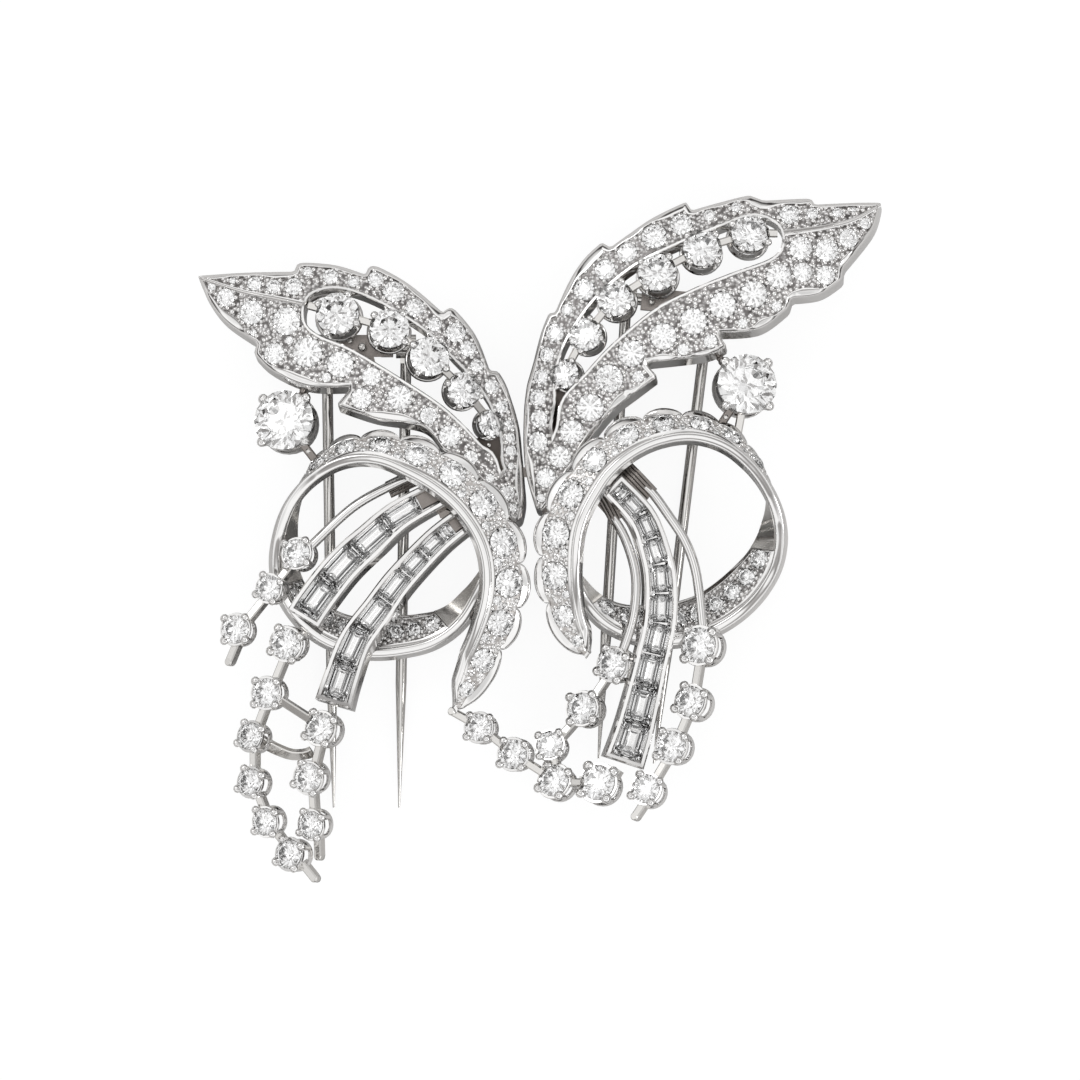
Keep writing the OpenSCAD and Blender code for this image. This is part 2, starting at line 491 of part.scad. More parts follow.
// A stone on the band: face 1 is the outer face, face -1 the inner one
module band_stone(tab, a, centre, hand, share, r, face) {
    row = scroll_row(tab, a);
    n = band_across(row, a, hand) * face;
    depth = 0.5;
    p = rim_point(row, a, centre, hand) + share * band_along(row, a, hand) + n * (band_half + depth + seam);
    if (r > 0.3)
        color(stone) translate(p) point_along(n) cut_stone(r, 8, depth);
}

module scroll_stones(tab, centre, hand, notches) {
    // One main stone in each scallop, and a small one beside each notch
    for (i = [0:len(notches) - 2]) {
        a = (notches[i] + notches[i + 1]) / 2;
        row = scroll_row(tab, a);
        width = norm([row[3], row[4]]);
        arc = PI * row[1] * 1.15 * (notches[i + 1] - notches[i]) / 180;
        r = min(0.42 * (width - 0.4), 0.36 * arc);
        band_stone(tab, a, centre, hand, 0.62, r, 1);
        if (i > 0) {
            here = scroll_row(tab, notches[i]);
            band_stone(tab, notches[i], centre, hand, 0.34, 0.13 * norm([here[3], here[4]]), 1);
        }
    }
    // The lower part of the ring is set on its inner face
    first = 200;
    last = tab[len(tab) - 1][0] - 26;
    count = 9;
    for (i = [0:count - 1]) {
        a = first + (last - first) * i / (count - 1);
        row = scroll_row(tab, a);
        inner_r = norm([row[3], row[4]]);
        band_stone(tab, a, centre, hand, 0.55, min(0.3 * inner_r, 0.75), -1);
    }
}

// Ribbons: distance along the centre line against its row count
function run_table(tab) =
    let(steps = 6, n = (len(tab) - 1) * steps)
    [for (i = 0, s = 0; i <= n;
        s = s + (i < n ? norm(smooth(tab, (i + 1) / steps) - smooth(tab, i / steps)) : 0), i = i + 1)
        [s, i / steps]];
function ribbon_frame(tab, t) =
    let(
        here = smooth(tab, t), e = 0.05,
        next = smooth(tab, min(t + e, len(tab) - 1)), back = smooth(tab, max(t - e, 0)),
        run = unit([next[0] - back[0], next[1] - back[1], next[2] - back[2]])
    )
    [[here[0], here[1], here[2]], run, unit(cross([0, 0, 1], run)), here[3]];
// Channel section: the floor is low along the run and brought up at the ends
function ribbon_section(tab, t, floor_drop) =
    let(
        f = ribbon_frame(tab, t), half = f[3] / 2, inner = half - ribbon_wall, bevel = 0.18,
        put = function(u, v) f[0] + f[2] * u + [0, 0, v]
    )
    [
        put(-half, -ribbon_depth), put(half, -ribbon_depth), put(half, -bevel), put(inner, 0),
        put(inner, -floor_drop), put(-inner, -floor_drop), put(-inner, 0), put(-half, -bevel)
    ];
RIBBON_CAP = [[0, 1, 4], [0, 4, 5], [1, 2, 3], [1, 3, 4], [0, 5, 6], [0, 6, 7]];
ribbon_end = 0.55;

module ribbon(tab) {
    runs = run_table(tab);
    length = runs[len(runs) - 1][0];
    t_start = lookup(ribbon_end, runs);
    t_finish = lookup(length - ribbon_end, runs);
    floor = 1.25;
    shut = 0.04;
    steps = 14;
    color(metal) skin(
        concat(
            [ribbon_section(tab, 0, shut), ribbon_section(tab, t_start, shut)],
            [for (i = [0:steps]) ribbon_section(tab, t_start + 0.02 + (t_finish - t_start - 0.04) * i / steps, floor)],
            [ribbon_section(tab, t_finish, shut), ribbon_section(tab, len(tab) - 1, shut)]
        ),
        false, RIBBON_CAP, false
    );
}

module baguettes(tab, cuts) {
    runs = run_table(tab);
    gap = 0.14;
    starts = [for (i = 0, s = ribbon_end + 0.25; i < len(cuts); s = s + cuts[i] + gap, i = i + 1) s];
    color(stone)
    for (i = [0:len(cuts) - 1]) {
        f = ribbon_frame(tab, lookup(starts[i] + cuts[i] / 2, runs));
        translate(f[0] - [0, 0, 0.22])
        rotate([0, -asin(f[1][2]), atan2(f[1][1], f[1][0])])
        baguette(cuts[i] - gap, f[3] - 2 * ribbon_wall - 0.34);
    }
}

// Sprays
module spray_head(row, z, lean) {
    translate([row[0], row[1], z]) point_along([lean[0], lean[1], 1])
        claw_head(row[2], collet_depth, claw_r, 8 * row[0]);
}

module spray_stone(row, z, lean) {
    color(stone)
    translate([row[0], row[1], z]) point_along([lean[0], lean[1], 1]) cut_stone(row[2], 10, 0.8 * row[2]);
}

// A point inside a collet's wall, towards another place, below the leaning head
function wall_point(row, to, z, lean) =
    let(d = unit(to - flat(row)), drop = 1.05, q = flat(row) + d * 0.8 * row[2] - lean * drop)
    [q[0], q[1], z - drop];

module spray_bar(a, b, z, lean) {
    bar(wall_point(a, flat(b), z, lean), wall_point(b, flat(a), z, lean), bar_w, 0.7);
}

// Round-ended bar that sticks out past a stone
module stub(row, tip, z, lean) {
    p = wall_point(row, tip, z, lean);
    q = [tip[0], tip[1], p[2] - 0.2];
    bar(p, q, bar_w, 0.7);
    translate(q) cylinder(r = bar_w / 2 + 0.03, h = 0.78, center = true, $fn = 24);
}

module wire(points) {
    for (i = [0:len(points) - 2]) {
        d = points[i + 1] - points[i];
        translate(points[i]) point_along(d) cylinder(r = wire_r, h = norm(d), $fn = 24);
        translate(points[i]) sphere(r = wire_r + 0.04, $fn = 24);
    }
}

// Wire whose last stretch ends in a collet's wall
module wire_to(points, row, z, lean) {
    wire(concat(points, [wall_point(row, flat(points[len(points) - 1]), z, lean)]));
}

module left_short_spray() {
    color(metal) {
        for (r = LEFT_SHORT) spray_head(r, short_z, left_lean);
        for (i = [0, 1]) spray_bar(LEFT_SHORT[i], LEFT_SHORT[i + 1], short_z, left_lean);
        stub(LEFT_SHORT[2], [-31.0, -12.2], short_z, left_lean);
        wire_to(LEFT_WIRE, LEFT_SHORT[0], short_z, left_lean);
    }
}

module left_long_spray() {
    color(metal) {
        for (r = LEFT_LONG) spray_head(r, long_z, left_lean);
        for (b = LEFT_LONG_BARS) spray_bar(LEFT_LONG[b[0]], LEFT_LONG[b[1]], long_z, left_lean);
        stub(LEFT_LONG[5], [-22.5, -33.9], long_z, left_lean);
        stub(LEFT_LONG[8], [-22.1, -31.7], long_z, left_lean);
        ribbon_joint(LEFT_LONG[0], [-23.9, -9.2], long_z, left_lean);
        ribbon_joint(LEFT_LONG[6], [-21.1, -17.6], long_z, left_lean);
    }
}

// Short post from a collet to the end of a ribbon
module ribbon_joint(row, end, z, lean) {
    p = wall_point(row, end, z, lean);
    bar(p, [end[0], end[1], p[2]], bar_w, 0.7);
}

module right_outer_spray() {
    color(metal) {
        for (r = RIGHT_OUTER) spray_head(r, outer_z, right_lean);
        for (i = [0:2]) spray_bar(RIGHT_OUTER[i], RIGHT_OUTER[i + 1], outer_z, right_lean);
        stub(RIGHT_OUTER[3], [9.6, -27.7], outer_z, right_lean);
        wire_to(RIGHT_OUTER_WIRE, RIGHT_OUTER[0], outer_z, right_lean);
    }
}

module right_inner_spray() {
    color(metal) {
        for (r = RIGHT_INNER) spray_head(r, inner_z, right_lean);
        for (b = RIGHT_INNER_BARS) spray_bar(RIGHT_INNER[b[0]], RIGHT_INNER[b[1]], inner_z, right_lean);
        stub(RIGHT_INNER[3], [-8.7, -17.2], inner_z, right_lean);
        ribbon_joint(RIGHT_INNER[6], [7.9, -23.0], inner_z, right_lean);
        wire_to(RIGHT_INNER_WIRE, RIGHT_INNER[0], inner_z, right_lean);
    }
}

// Solitaires
module solitaire_setting(place, arm) {
    r = place[2];
    depth = 2.4;
    d = unit(arm - flat(place));
    p = flat(place) + d * 0.8 * r;
    color(metal) {
        translate([place[0], place[1], solitaire_z]) claw_head(r, depth, 0.3, 0);
        bar([p[0], p[1], solitaire_z - 1.3], [arm[0], arm[1], solitaire_z - 1.5], 1.0, 0.8);
    }
}

module solitaire(place) {
    color(stone) translate([place[0], place[1], solitaire_z]) cut_stone(place[2], 16, 0.8 * place[2]);
}

// Back frame: carrier bar, posts and the two ears that hold the axle
module back_frame(path, posts, root_arm, hinge) {
    color(metal) {
        for (i = [0:len(path) - 2]) {
            p = [path[i][0], path[i][1], carrier_z + carrier_h / 2];
            q = [path[i + 1][0], path[i + 1][1], carrier_z + carrier_h / 2];
            bar(p, q, carrier_w, carrier_h);
        }
        for (i = [1:len(path) - 2])
            translate([path[i][0], path[i][1], carrier_z - 0.03])
            cylinder(r = carrier_w / 2 + 0.04, h = carrier_h + 0.06, $fn = 32);
        for (p = posts)
            translate([p[0], p[1], carrier_z + 0.2]) cylinder(r = 0.5, h = p[2] - carrier_z - 0.2, $fn = 24);
        bar(root_arm[0], root_arm[1], 1.2, 0.9);
        hinge_ears(hinge);
    }
}

ear_gap = 3.0;
ear_w = 1.2;
module hinge_ears(hinge) {
    ear_top = carrier_z + carrier_h;
    ear_r = 1.1;
    translate([hinge[0], hinge[1], 0]) rotate([0, 0, hinge[2]]) {
        translate([-ear_gap / 2 - ear_w, -ear_r, carrier_z]) cube([ear_gap + 2 * ear_w, 2 * ear_r, carrier_h]);
        for (x = [-ear_gap / 2 - ear_w, ear_gap / 2])
            difference() {
                union() {
                    translate([x, -0.9, hinge_z]) cube([ear_w, 1.8, ear_top - hinge_z - 0.05]);
                    translate([x, 0, hinge_z]) rotate([0, 90, 0]) cylinder(r = ear_r, h = ear_w, $fn = 48);
                }
                translate([x - 1, 0, hinge_z]) rotate([0, 90, 0])
                    cylinder(r = axle_d / 2 + axle_gap, h = ear_w + 2, $fn = 48);
            }
    }
}

// Double pin: axle, two knuckles and two stems that taper to points
module pin_fork(hinge) {
    half = hinge[3] / 2;
    knuckle_w = 2.0;
    length = stem_straight + stem_point;
    lean = atan((hinge[3] - hinge[4]) / 2 / length);
    tip_r = 0.1;
    root_half = stem_r + 0.02;
    color(metal)
    translate([hinge[0], hinge[1], 0]) rotate([0, 0, hinge[2]]) {
        translate([-half, 0, hinge_z]) rotate([0, 90, 0]) cylinder(d = axle_d, h = 2 * half, $fn = 48);
        for (side = [-1, 1]) {
            translate([side * half - knuckle_w / 2, 0, hinge_z]) rotate([0, 90, 0])
                cylinder(d = knuckle_d, h = knuckle_w, $fn = 48);
            translate([side * half, 0, stem_z]) rotate([0, 0, -side * lean]) rotate([90, 0, 0]) {
                translate([-root_half, -root_half, 0]) cube([2 * root_half, 2 * root_half, stem_root]);
                cylinder(r = stem_r, h = stem_straight, $fn = 48);
                translate([0, 0, stem_straight]) cylinder(r1 = stem_r, r2 = tip_r, h = stem_point, $fn = 48);
            }
        }
    }
}

// Bar that holds the halves side by side, behind the leaf roots
module link_bar() {
    z = carrier_z + carrier_h + seam + 0.04;
    color(metal) translate([-5.8, 6.3, z]) cube([8.5, 1.0, 0.7]);
}

// Left half
module left_leaf() {
    leaf(LEFT_UPPER, LEFT_LOWER, LEFT_OPENING_UP, LEFT_OPENING_LOW, LEFT_SPINE, -1, [0.1, -leaf_splay], false);
}
module left_leaf_stones() {
    leaf_stones(LEFT_LEAF_STONES, LEFT_UPPER, LEFT_LOWER, LEFT_OPENING_UP, LEFT_OPENING_LOW, LEFT_SPINE, -1);
}
module left_row_setting() { row_setting(LEFT_ROW, LEFT_SPINE, -1, LEFT_OPENING_UP[0]); }
module left_row_stones() { row_stones(LEFT_ROW, LEFT_SPINE, -1); }
module left_scroll() { scroll(LEFT_SCROLL, LEFT_SCROLL_CENTRE, 1, LEFT_NOTCHES); }
module left_scroll_stones() { scroll_stones(LEFT_SCROLL, LEFT_SCROLL_CENTRE, 1, LEFT_NOTCHES); }
module left_solitaire_setting() { solitaire_setting(LEFT_SOLITAIRE, LEFT_SOLITAIRE_ARM); }
module left_solitaire() { solitaire(LEFT_SOLITAIRE); }
module left_back_frame() { back_frame(LEFT_CARRIER, LEFT_POSTS, LEFT_ROOT_ARM, LEFT_HINGE); }
module left_pin_fork() { pin_fork(LEFT_HINGE); }
module left_upper_ribbon() { ribbon(LEFT_UPPER_RIBBON); }
module left_upper_baguettes() { baguettes(LEFT_UPPER_RIBBON, LEFT_UPPER_CUTS); }
module left_lower_ribbon() { ribbon(LEFT_LOWER_RIBBON); }
module left_lower_baguettes() { baguettes(LEFT_LOWER_RIBBON, LEFT_LOWER_CUTS); }

// Right half
module right_leaf() {
    leaf(RIGHT_UPPER, RIGHT_LOWER, RIGHT_OPENING_UP, RIGHT_OPENING_LOW, RIGHT_SPINE, 1, [0.1, -leaf_splay], true);
}
module right_leaf_stones() {
    leaf_stones(RIGHT_LEAF_STONES, RIGHT_UPPER, RIGHT_LOWER, RIGHT_OPENING_UP, RIGHT_OPENING_LOW, RIGHT_SPINE, 1);
}
module right_row_setting() { row_setting(RIGHT_ROW, RIGHT_SPINE, 1, RIGHT_OPENING_UP[0]); }
module right_row_stones() { row_stones(RIGHT_ROW, RIGHT_SPINE, 1); }
module right_scroll() { scroll(RIGHT_SCROLL, RIGHT_SCROLL_CENTRE, -1, RIGHT_NOTCHES); }
module right_scroll_stones() { scroll_stones(RIGHT_SCROLL, RIGHT_SCROLL_CENTRE, -1, RIGHT_NOTCHES); }
module right_solitaire_setting() { solitaire_setting(RIGHT_SOLITAIRE, RIGHT_SOLITAIRE_ARM); }
module right_solitaire() { solitaire(RIGHT_SOLITAIRE); }
module right_back_frame() { back_frame(RIGHT_CARRIER, RIGHT_POSTS, RIGHT_ROOT_ARM, RIGHT_HINGE); }
module right_pin_fork() { pin_fork(RIGHT_HINGE); }
module right_ribbon() { ribbon(RIGHT_RIBBON); }
module right_baguettes() { baguettes(RIGHT_RIBBON, RIGHT_CUTS); }

left_leaf();
left_leaf_stones();
left_row_setting();
left_row_stones();
left_scroll();
left_scroll_stones();
left_solitaire_setting();
left_solitaire();
left_back_frame();
left_pin_fork();
left_upper_ribbon();
left_upper_baguettes();
left_lower_ribbon();
left_lower_baguettes();
left_short_spray();
left_long_spray();
right_leaf();
right_leaf_stones();
right_row_setting();
right_row_stones();
right_scroll();
right_scroll_stones();
right_solitaire_setting();
right_solitaire();
right_back_frame();
right_pin_fork();
right_ribbon();
right_baguettes();
right_outer_spray();
right_inner_spray();
link_bar();
for (i = [1:len(LEFT_SHORT)])
    spray_stone(LEFT_SHORT[i - 1], short_z, left_lean);
for (i = [1:len(LEFT_LONG)])
    spray_stone(LEFT_LONG[i - 1], long_z, left_lean);
for (i = [1:len(RIGHT_OUTER)])
    spray_stone(RIGHT_OUTER[i - 1], outer_z, right_lean);
for (i = [1:len(RIGHT_INNER)])
    spray_stone(RIGHT_INNER[i - 1], inner_z, right_lean);
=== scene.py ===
# Double pin brooch: polished platinum set with white diamonds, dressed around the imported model.
# Sizes and places are in millimetres and turn to metres where a mesh is made.
import math

import bmesh
import bpy
import numpy as np
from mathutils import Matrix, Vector
from mathutils.geometry import delaunay_2d_cdt


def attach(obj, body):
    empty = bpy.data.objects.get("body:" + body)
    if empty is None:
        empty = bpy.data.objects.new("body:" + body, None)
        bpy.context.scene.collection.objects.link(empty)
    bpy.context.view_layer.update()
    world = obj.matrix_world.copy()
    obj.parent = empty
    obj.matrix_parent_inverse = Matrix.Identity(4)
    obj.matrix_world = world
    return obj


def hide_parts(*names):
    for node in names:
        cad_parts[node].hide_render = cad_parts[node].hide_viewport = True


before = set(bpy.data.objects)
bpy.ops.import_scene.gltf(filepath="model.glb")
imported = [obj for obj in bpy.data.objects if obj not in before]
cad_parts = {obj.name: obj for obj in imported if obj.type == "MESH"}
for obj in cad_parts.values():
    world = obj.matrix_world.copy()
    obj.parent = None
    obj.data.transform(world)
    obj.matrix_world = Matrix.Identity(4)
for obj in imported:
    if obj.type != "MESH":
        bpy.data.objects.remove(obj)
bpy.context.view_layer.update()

MM = 0.001
GOLDEN_TURN = math.radians(137.5)

# Leaf: depth of the side wall, how far it splays, fall of the surface from the spine, rise of the lower lobe
LEAF_DEPTH = 1.9
LEAF_SPLAY = (0.1, -0.3)
LEAF_ROOF = 0.16
LEAF_TILT = 0.14
# Depth from which the side wall splays, and distances between points of the edge, the opening and the midrib
SPLAY_FROM = 1.2
LEAF_PITCH = 0.3
OPENING_PITCH = 0.45
RIB_PITCH = 0.4
# Polished edge: its widest bevel and its narrowest share of that; then the width of the rim round an opening,
# and how far the bright-cut bed lies below both
EDGE_BEVEL = 1.0
EDGE_LEAST = 0.3
OPENING_RIM = 0.36
BED_DROP = 0.24
# Sections of a leaf's edge and of the rim round its opening, from the back: how far over the plate, how high
LEAF_EDGE = [
    (0, -LEAF_DEPTH), (0, -0.36), (0.08, -0.22), (0.3, -0.09), (0.6, 0.0), (0.74, 0.05), (0.92, 0.05),
    (EDGE_BEVEL, -BED_DROP),
]
OPENING_EDGE = [
    (0, -LEAF_DEPTH), (0, 0.1), (0.08, 0.2), (OPENING_RIM - 0.08, 0.2), (OPENING_RIM, 0.1),
    (OPENING_RIM + 0.04, -BED_DROP),
]
# The full bevel ends this far from the stones, and its share grows so much with each millimetre from the tip
BEVEL_CLEAR = 0.06
TIP_GROWTH = 0.16
# Small stones: how far they sit below the rims, the smallest that is set, and their gaps to the edge, to the
# opening and to each other
GIRDLE_DROP = 0.03
STONE_LEAST = 0.28
EDGE_GAP = 0.09
OPENING_GAP = 0.12
STONE_GAP = 0.1
# Grains on the bed: radius, least distance between two, distance from an outline, pitch round a stone, how
# often a free place between the stones is tried, and the seeds of those tries on the leaves and the scrolls
GRAIN_R = 0.28
GRAIN_GAP = 0.49
GRAIN_CLEAR = 0.1
GRAIN_PITCH = 0.72
GRAIN_TRIES = 2500
LEAF_SEED = 7
BAND_SEED = 11
# Points round a stone's seat
SEAT_SIDES = 18

# Leaf edges from the tip to the root, one row for each lobe
LEFT_UPPER = [
    [(-34.2, 26.4), (-29.5, 26.7), (-24.5, 26.8)],
    [(-24.3, 27.6), (-23.1, 27.7), (-20.2, 27.4), (-17.4, 26.5)],
    [(-17.2, 27.2), (-16.2, 27.3), (-13.0, 25.5), (-9.7, 22.7)],
    [(-9.3, 23.1), (-8.5, 23.0), (-6.4, 20.4), (-5.0, 16.9)],
    [(-4.2, 16.9), (-3.3, 15.3), (-2.3, 12.0), (-1.95, 9.0), (-1.7, 6.2), (-1.55, 3.9), (-1.9, 2.0)],
]
LEFT_LOWER = [
    [(-34.2, 26.4), (-33.2, 24.1), (-31.4, 21.8), (-28.2, 19.6)],
    [(-28.6, 18.6), (-26.8, 16.9), (-23.1, 15.3), (-18.8, 15.2)],
    [(-20.4, 13.4), (-16.5, 12.1), (-11.7, 11.2), (-9.6, 8.8), (-6.4, 6.4), (-4.4, 4.2), (-3.3, 2.6),
     (-2.5, 1.6)],
]
RIGHT_UPPER = [
    [(34.1, 33.7), (31.7, 33.7), (27.4, 33.5)],
    [(27.2, 34.0), (26.4, 34.1), (22.3, 33.9)],
    [(21.3, 34.3), (20.7, 34.4), (17.9, 33.7), (15.1, 32.9)],
    [(14.7, 33.6), (14.4, 33.7), (11.3, 32.2), (8.8, 30.5), (7.0, 29.2)],
    [(6.2, 29.8), (4.4, 28.1), (2.9, 25.8), (1.5, 22.7)],
    [(0.9, 22.7), (0.1, 20.7), (-0.7, 17.6)],
    [(-1.3, 15.6), (-1.6, 13.0), (-1.65, 9.2), (-1.35, 6.4), (-0.4, 3.0)],
]
RIGHT_LOWER = [
    [(34.1, 33.7), (33.2, 30.9), (30.2, 27.1)],
    [(30.2, 26.0), (27.9, 24.5), (25.0, 24.1)],
    [(24.8, 23.1), (21.8, 21.0), (17.7, 20.6)],
    [(18.7, 19.3), (16.4, 18.3), (10.5, 17.6)],
    [(11.8, 16.3), (9.8, 14.8), (7.5, 13.0), (5.4, 10.5), (2.6, 6.4), (0.3, 2.8)],
]
# Leaf openings from the slit end round the blunt end and back
LEFT_OPENING = [
    (-3.85, 6.8), (-4.25, 8.1), (-4.8, 8.9), (-5.8, 9.6), (-7.6, 11.5), (-10.1, 13.7), (-14.4, 16.5),
    (-18.8, 19.1), (-21.9, 20.4), (-23.3, 21.6), (-23.4, 23.4), (-22.5, 24.6), (-19.9, 25.0), (-16.0, 23.6),
    (-11.4, 20.7), (-8.7, 18.0), (-7.0, 16.2), (-5.3, 13.8), (-4.3, 11.3), (-4.0, 9.6), (-3.95, 8.1),
    (-3.65, 7.0), (-3.85, 6.8),
]
RIGHT_OPENING = [
    (1.3, 10.7), (1.55, 11.4), (1.75, 12.6), (2.0, 13.8), (2.8, 15.0), (4.4, 16.6), (7.0, 19.4), (11.3, 23.0),
    (15.1, 25.0), (19.0, 26.6), (23.0, 28.1), (24.1, 29.6), (23.6, 31.4), (21.3, 32.3), (18.0, 31.2),
    (13.9, 29.5), (9.5, 27.3), (5.5, 23.9), (2.7, 19.8), (1.7, 16.5), (1.6, 13.8), (1.4, 12.4), (1.2, 11.4),
    (1.3, 10.7),
]
# Spines from the tip to the root: x, y, height of the surface
LEFT_SPINE = [
    (-34.2, 26.4, 7.2), (-28.0, 24.8, 8.2), (-23.4, 23.4, 8.8), (-18.5, 21.6, 9.1), (-13.5, 18.8, 9.0),
    (-8.6, 14.6, 8.4), (-5.0, 9.8, 7.6), (-4.0, 7.0, 7.2), (-3.0, 2.1, 6.7),
]
RIGHT_SPINE = [
    (34.1, 33.7, 7.2), (29.2, 31.4, 8.2), (24.1, 29.6, 8.8), (18.8, 28.6, 9.1), (13.2, 26.6, 9.1),
    (7.6, 22.6, 8.9), (3.6, 18.0, 8.3), (1.4, 13.2, 7.8), (1.2, 10.8, 7.5), (-0.1, 2.6, 6.7),
]
# Raised midribs from the tips to the blunt ends of the openings
LEFT_MIDRIB = [(-34.0, 26.2), (-29.7, 24.8), (-26.3, 24.1), (-23.5, 23.5)]
RIGHT_MIDRIB = [(34.0, 33.5), (31.4, 32.0), (28.4, 31.2), (24.1, 30.6)]
# Section of a midrib, across and up: a ridge, a groove and a lower ridge
RIB_PROFILE = [
    (-0.34, -0.4), (-0.3, 0.02), (-0.2, 0.12), (-0.08, 0.14), (0.0, 0.0), (0.1, 0.1), (0.2, 0.02),
    (0.3, -0.02), (0.34, -0.4),
]
# Small stones of each leaf: x, y, wanted radius
LEFT_LEAF_STONES = [
    (-31.4, 24.2, 0.9), (-28.8, 22.7, 1.2), (-25.3, 21.8, 1.45), (-26.5, 18.6, 1.05), (-23.2, 18.7, 1.5),
    (-19.9, 17.5, 1.4), (-16.8, 16.3, 1.15), (-17.8, 14.1, 1.05), (-14.0, 14.2, 1.4), (-11.1, 12.4, 1.15),
    (-9.0, 10.4, 1.25), (-6.9, 8.2, 1.1), (-5.0, 6.2, 1.0), (-3.3, 4.7, 0.85), (-2.7, 3.2, 0.5),
    (-30.7, 25.9, 0.65), (-28.5, 25.6, 0.75), (-26.6, 25.3, 0.75), (-24.6, 25.3, 0.9), (-23.2, 26.8, 0.65),
    (-20.9, 26.3, 0.85), (-18.6, 25.8, 0.75), (-16.4, 26.0, 0.85), (-14.6, 24.8, 1.1), (-12.5, 23.2, 1.05),
    (-10.5, 21.5, 1.0), (-8.4, 20.7, 1.0), (-7.2, 19.1, 0.8), (-6.3, 17.4, 0.95), (-4.8, 15.3, 0.95),
    (-3.8, 13.3, 0.8), (-3.1, 11.5, 0.6), (-2.95, 10.2, 0.5), (-2.9, 8.9, 0.6), (-2.9, 7.4, 0.7),
    (-28.6, 20.7, 0.7), (-21.3, 16.2, 0.5), (-12.4, 12.1, 0.5), (-32.8, 25.3, 0.4), (-25.0, 19.9, 0.4),
]
RIGHT_LEAF_STONES = [
    (31.3, 33.0, 0.5), (29.7, 32.7, 0.7), (27.2, 32.6, 0.95), (24.9, 32.5, 1.0), (22.9, 33.3, 0.5),
    (19.6, 33.2, 0.85), (16.9, 32.4, 1.0), (14.1, 31.5, 1.1), (11.4, 30.3, 1.25), (8.7, 28.7, 1.0),
    (6.5, 27.0, 1.05), (5.2, 28.2, 0.6), (4.4, 25.0, 1.15), (2.7, 23.0, 0.95), (1.5, 20.7, 1.0),
    (0.7, 18.5, 0.9), (0.1, 16.3, 0.85), (-0.2, 14.2, 0.85), (-0.1, 12.1, 0.9), (-0.2, 9.8, 1.0),
    (32.5, 31.6, 0.6), (30.8, 30.1, 0.95), (28.6, 28.9, 1.15), (26.0, 29.1, 1.15), (28.5, 26.4, 1.1),
    (26.2, 26.7, 0.95), (23.8, 26.3, 1.25), (21.3, 24.5, 1.35), (18.2, 23.4, 1.35), (23.6, 23.3, 0.9),
    (15.3, 21.8, 1.35), (12.3, 20.3, 1.35), (17.0, 19.8, 0.85), (9.1, 18.6, 1.35), (6.9, 16.1, 1.4),
    (9.8, 16.3, 0.6), (14.3, 19.0, 0.6), (5.0, 13.2, 1.4), (3.2, 10.8, 1.2), (2.0, 8.3, 1.1), (0.6, 6.2, 1.0),
    (0.1, 4.2, 0.6), (33.3, 32.6, 0.4), (20.2, 21.6, 0.6), (7.7, 13.4, 0.5), (25.9, 24.6, 0.5),
]
# Round stones in each opening: x, y, radius
LEFT_ROW = [
    (-20.2, 22.6, 2.15), (-15.0, 21.1, 2.0), (-11.0, 18.3, 2.0), (-7.5, 15.0, 1.75), (-4.8, 11.6, 1.4),
]
RIGHT_ROW = [
    (21.0, 30.6, 1.95), (16.2, 29.1, 1.95), (11.7, 26.7, 1.95), (7.5, 24.1, 1.85), (4.5, 20.5, 1.7),
    (2.4, 16.6, 1.5),
]
# Lean of the first and the last head of each row, and the posts seen behind the rows: x, y, radius; the
# posts' lower and upper ends
LEFT_ROW_LEANS = [(-0.08, 0.24), (0.42, 0.1)]
RIGHT_ROW_LEANS = [(0.16, 0.36), (-0.34, 0.2)]
LEFT_ROW_KNOBS = [(-17.8, 19.3, 0.42), (-19.0, 19.9, 0.24), (-5.1, 9.5, 0.24)]
RIGHT_ROW_KNOBS = [(11.2, 23.8, 0.3), (12.6, 24.4, 0.24)]
KNOB_Z = (5.2, 6.4)
# Plates behind the slit ends of the openings, painted dark as the shade in the slits, and their lower and
# upper faces
LEFT_SLIT_BACK = [(-6.5, 10.2), (-5.8, 8.4), (-4.6, 6.0), (-3.0, 6.0), (-3.2, 10.7)]
RIGHT_SLIT_BACK = [(0.8, 15.6), (0.6, 10.0), (2.6, 10.0), (4.0, 15.6)]
SLIT_BACK_Z = (4.6, 5.1)
# Bars between the heads of a row: height, how far below the surface, and at which share of a head's radius
# they start
ROW_BAR_HEIGHT = 0.7
ROW_BAR_DROP = 0.6
ROW_BAR_START = 0.72

# Scrolls from the crescent's point round the ring: sweep angle, radius and height of the rim, and the band's
# reach outwards and upwards
LEFT_SCROLL_CENTRE = (-15.8, -1.6)
LEFT_SCROLL = [
    (-65, 16.7, 7.8, 0.3, -0.1), (-60, 14.8, 8.7, 1.9, -0.6), (-50, 13.0, 9.6, 3.0, -1.1),
    (-35, 11.8, 10.2, 3.3, -1.4), (-15, 10.9, 10.4, 3.6, -1.5), (5, 10.1, 10.4, 3.6, -1.5),
    (27, 9.2, 10.2, 3.6, -1.5), (50, 8.7, 10.0, 3.4, -1.5), (73, 8.8, 9.7, 3.0, -1.7),
    (96, 9.7, 9.3, 2.2, -2.1), (113, 10.2, 8.8, 1.7, -2.4), (130, 10.4, 8.1, 0.7, -2.7),
    (151, 10.5, 7.0, -0.6, -2.7), (171, 10.5, 5.7, -1.6, -2.5), (195, 10.7, 4.9, -2.1, -2.2),
    (225, 10.4, 4.6, -2.9, -2.1), (255, 9.9, 4.6, -3.3, -2.0), (280, 9.7, 4.6, -3.5, -2.0),
    (302, 10.1, 4.7, -3.1, -2.0), (320, 10.3, 4.9, -2.1, -1.9), (335, 10.3, 5.2, -1.4, -1.4),
    (348, 10.6, 5.8, -0.8, -0.9), (360, 11.2, 6.6, -0.5, -0.5),
]
LEFT_NOTCHES = [-65, -38, -21, -3, 16, 38, 60, 81, 100, 117, 133]
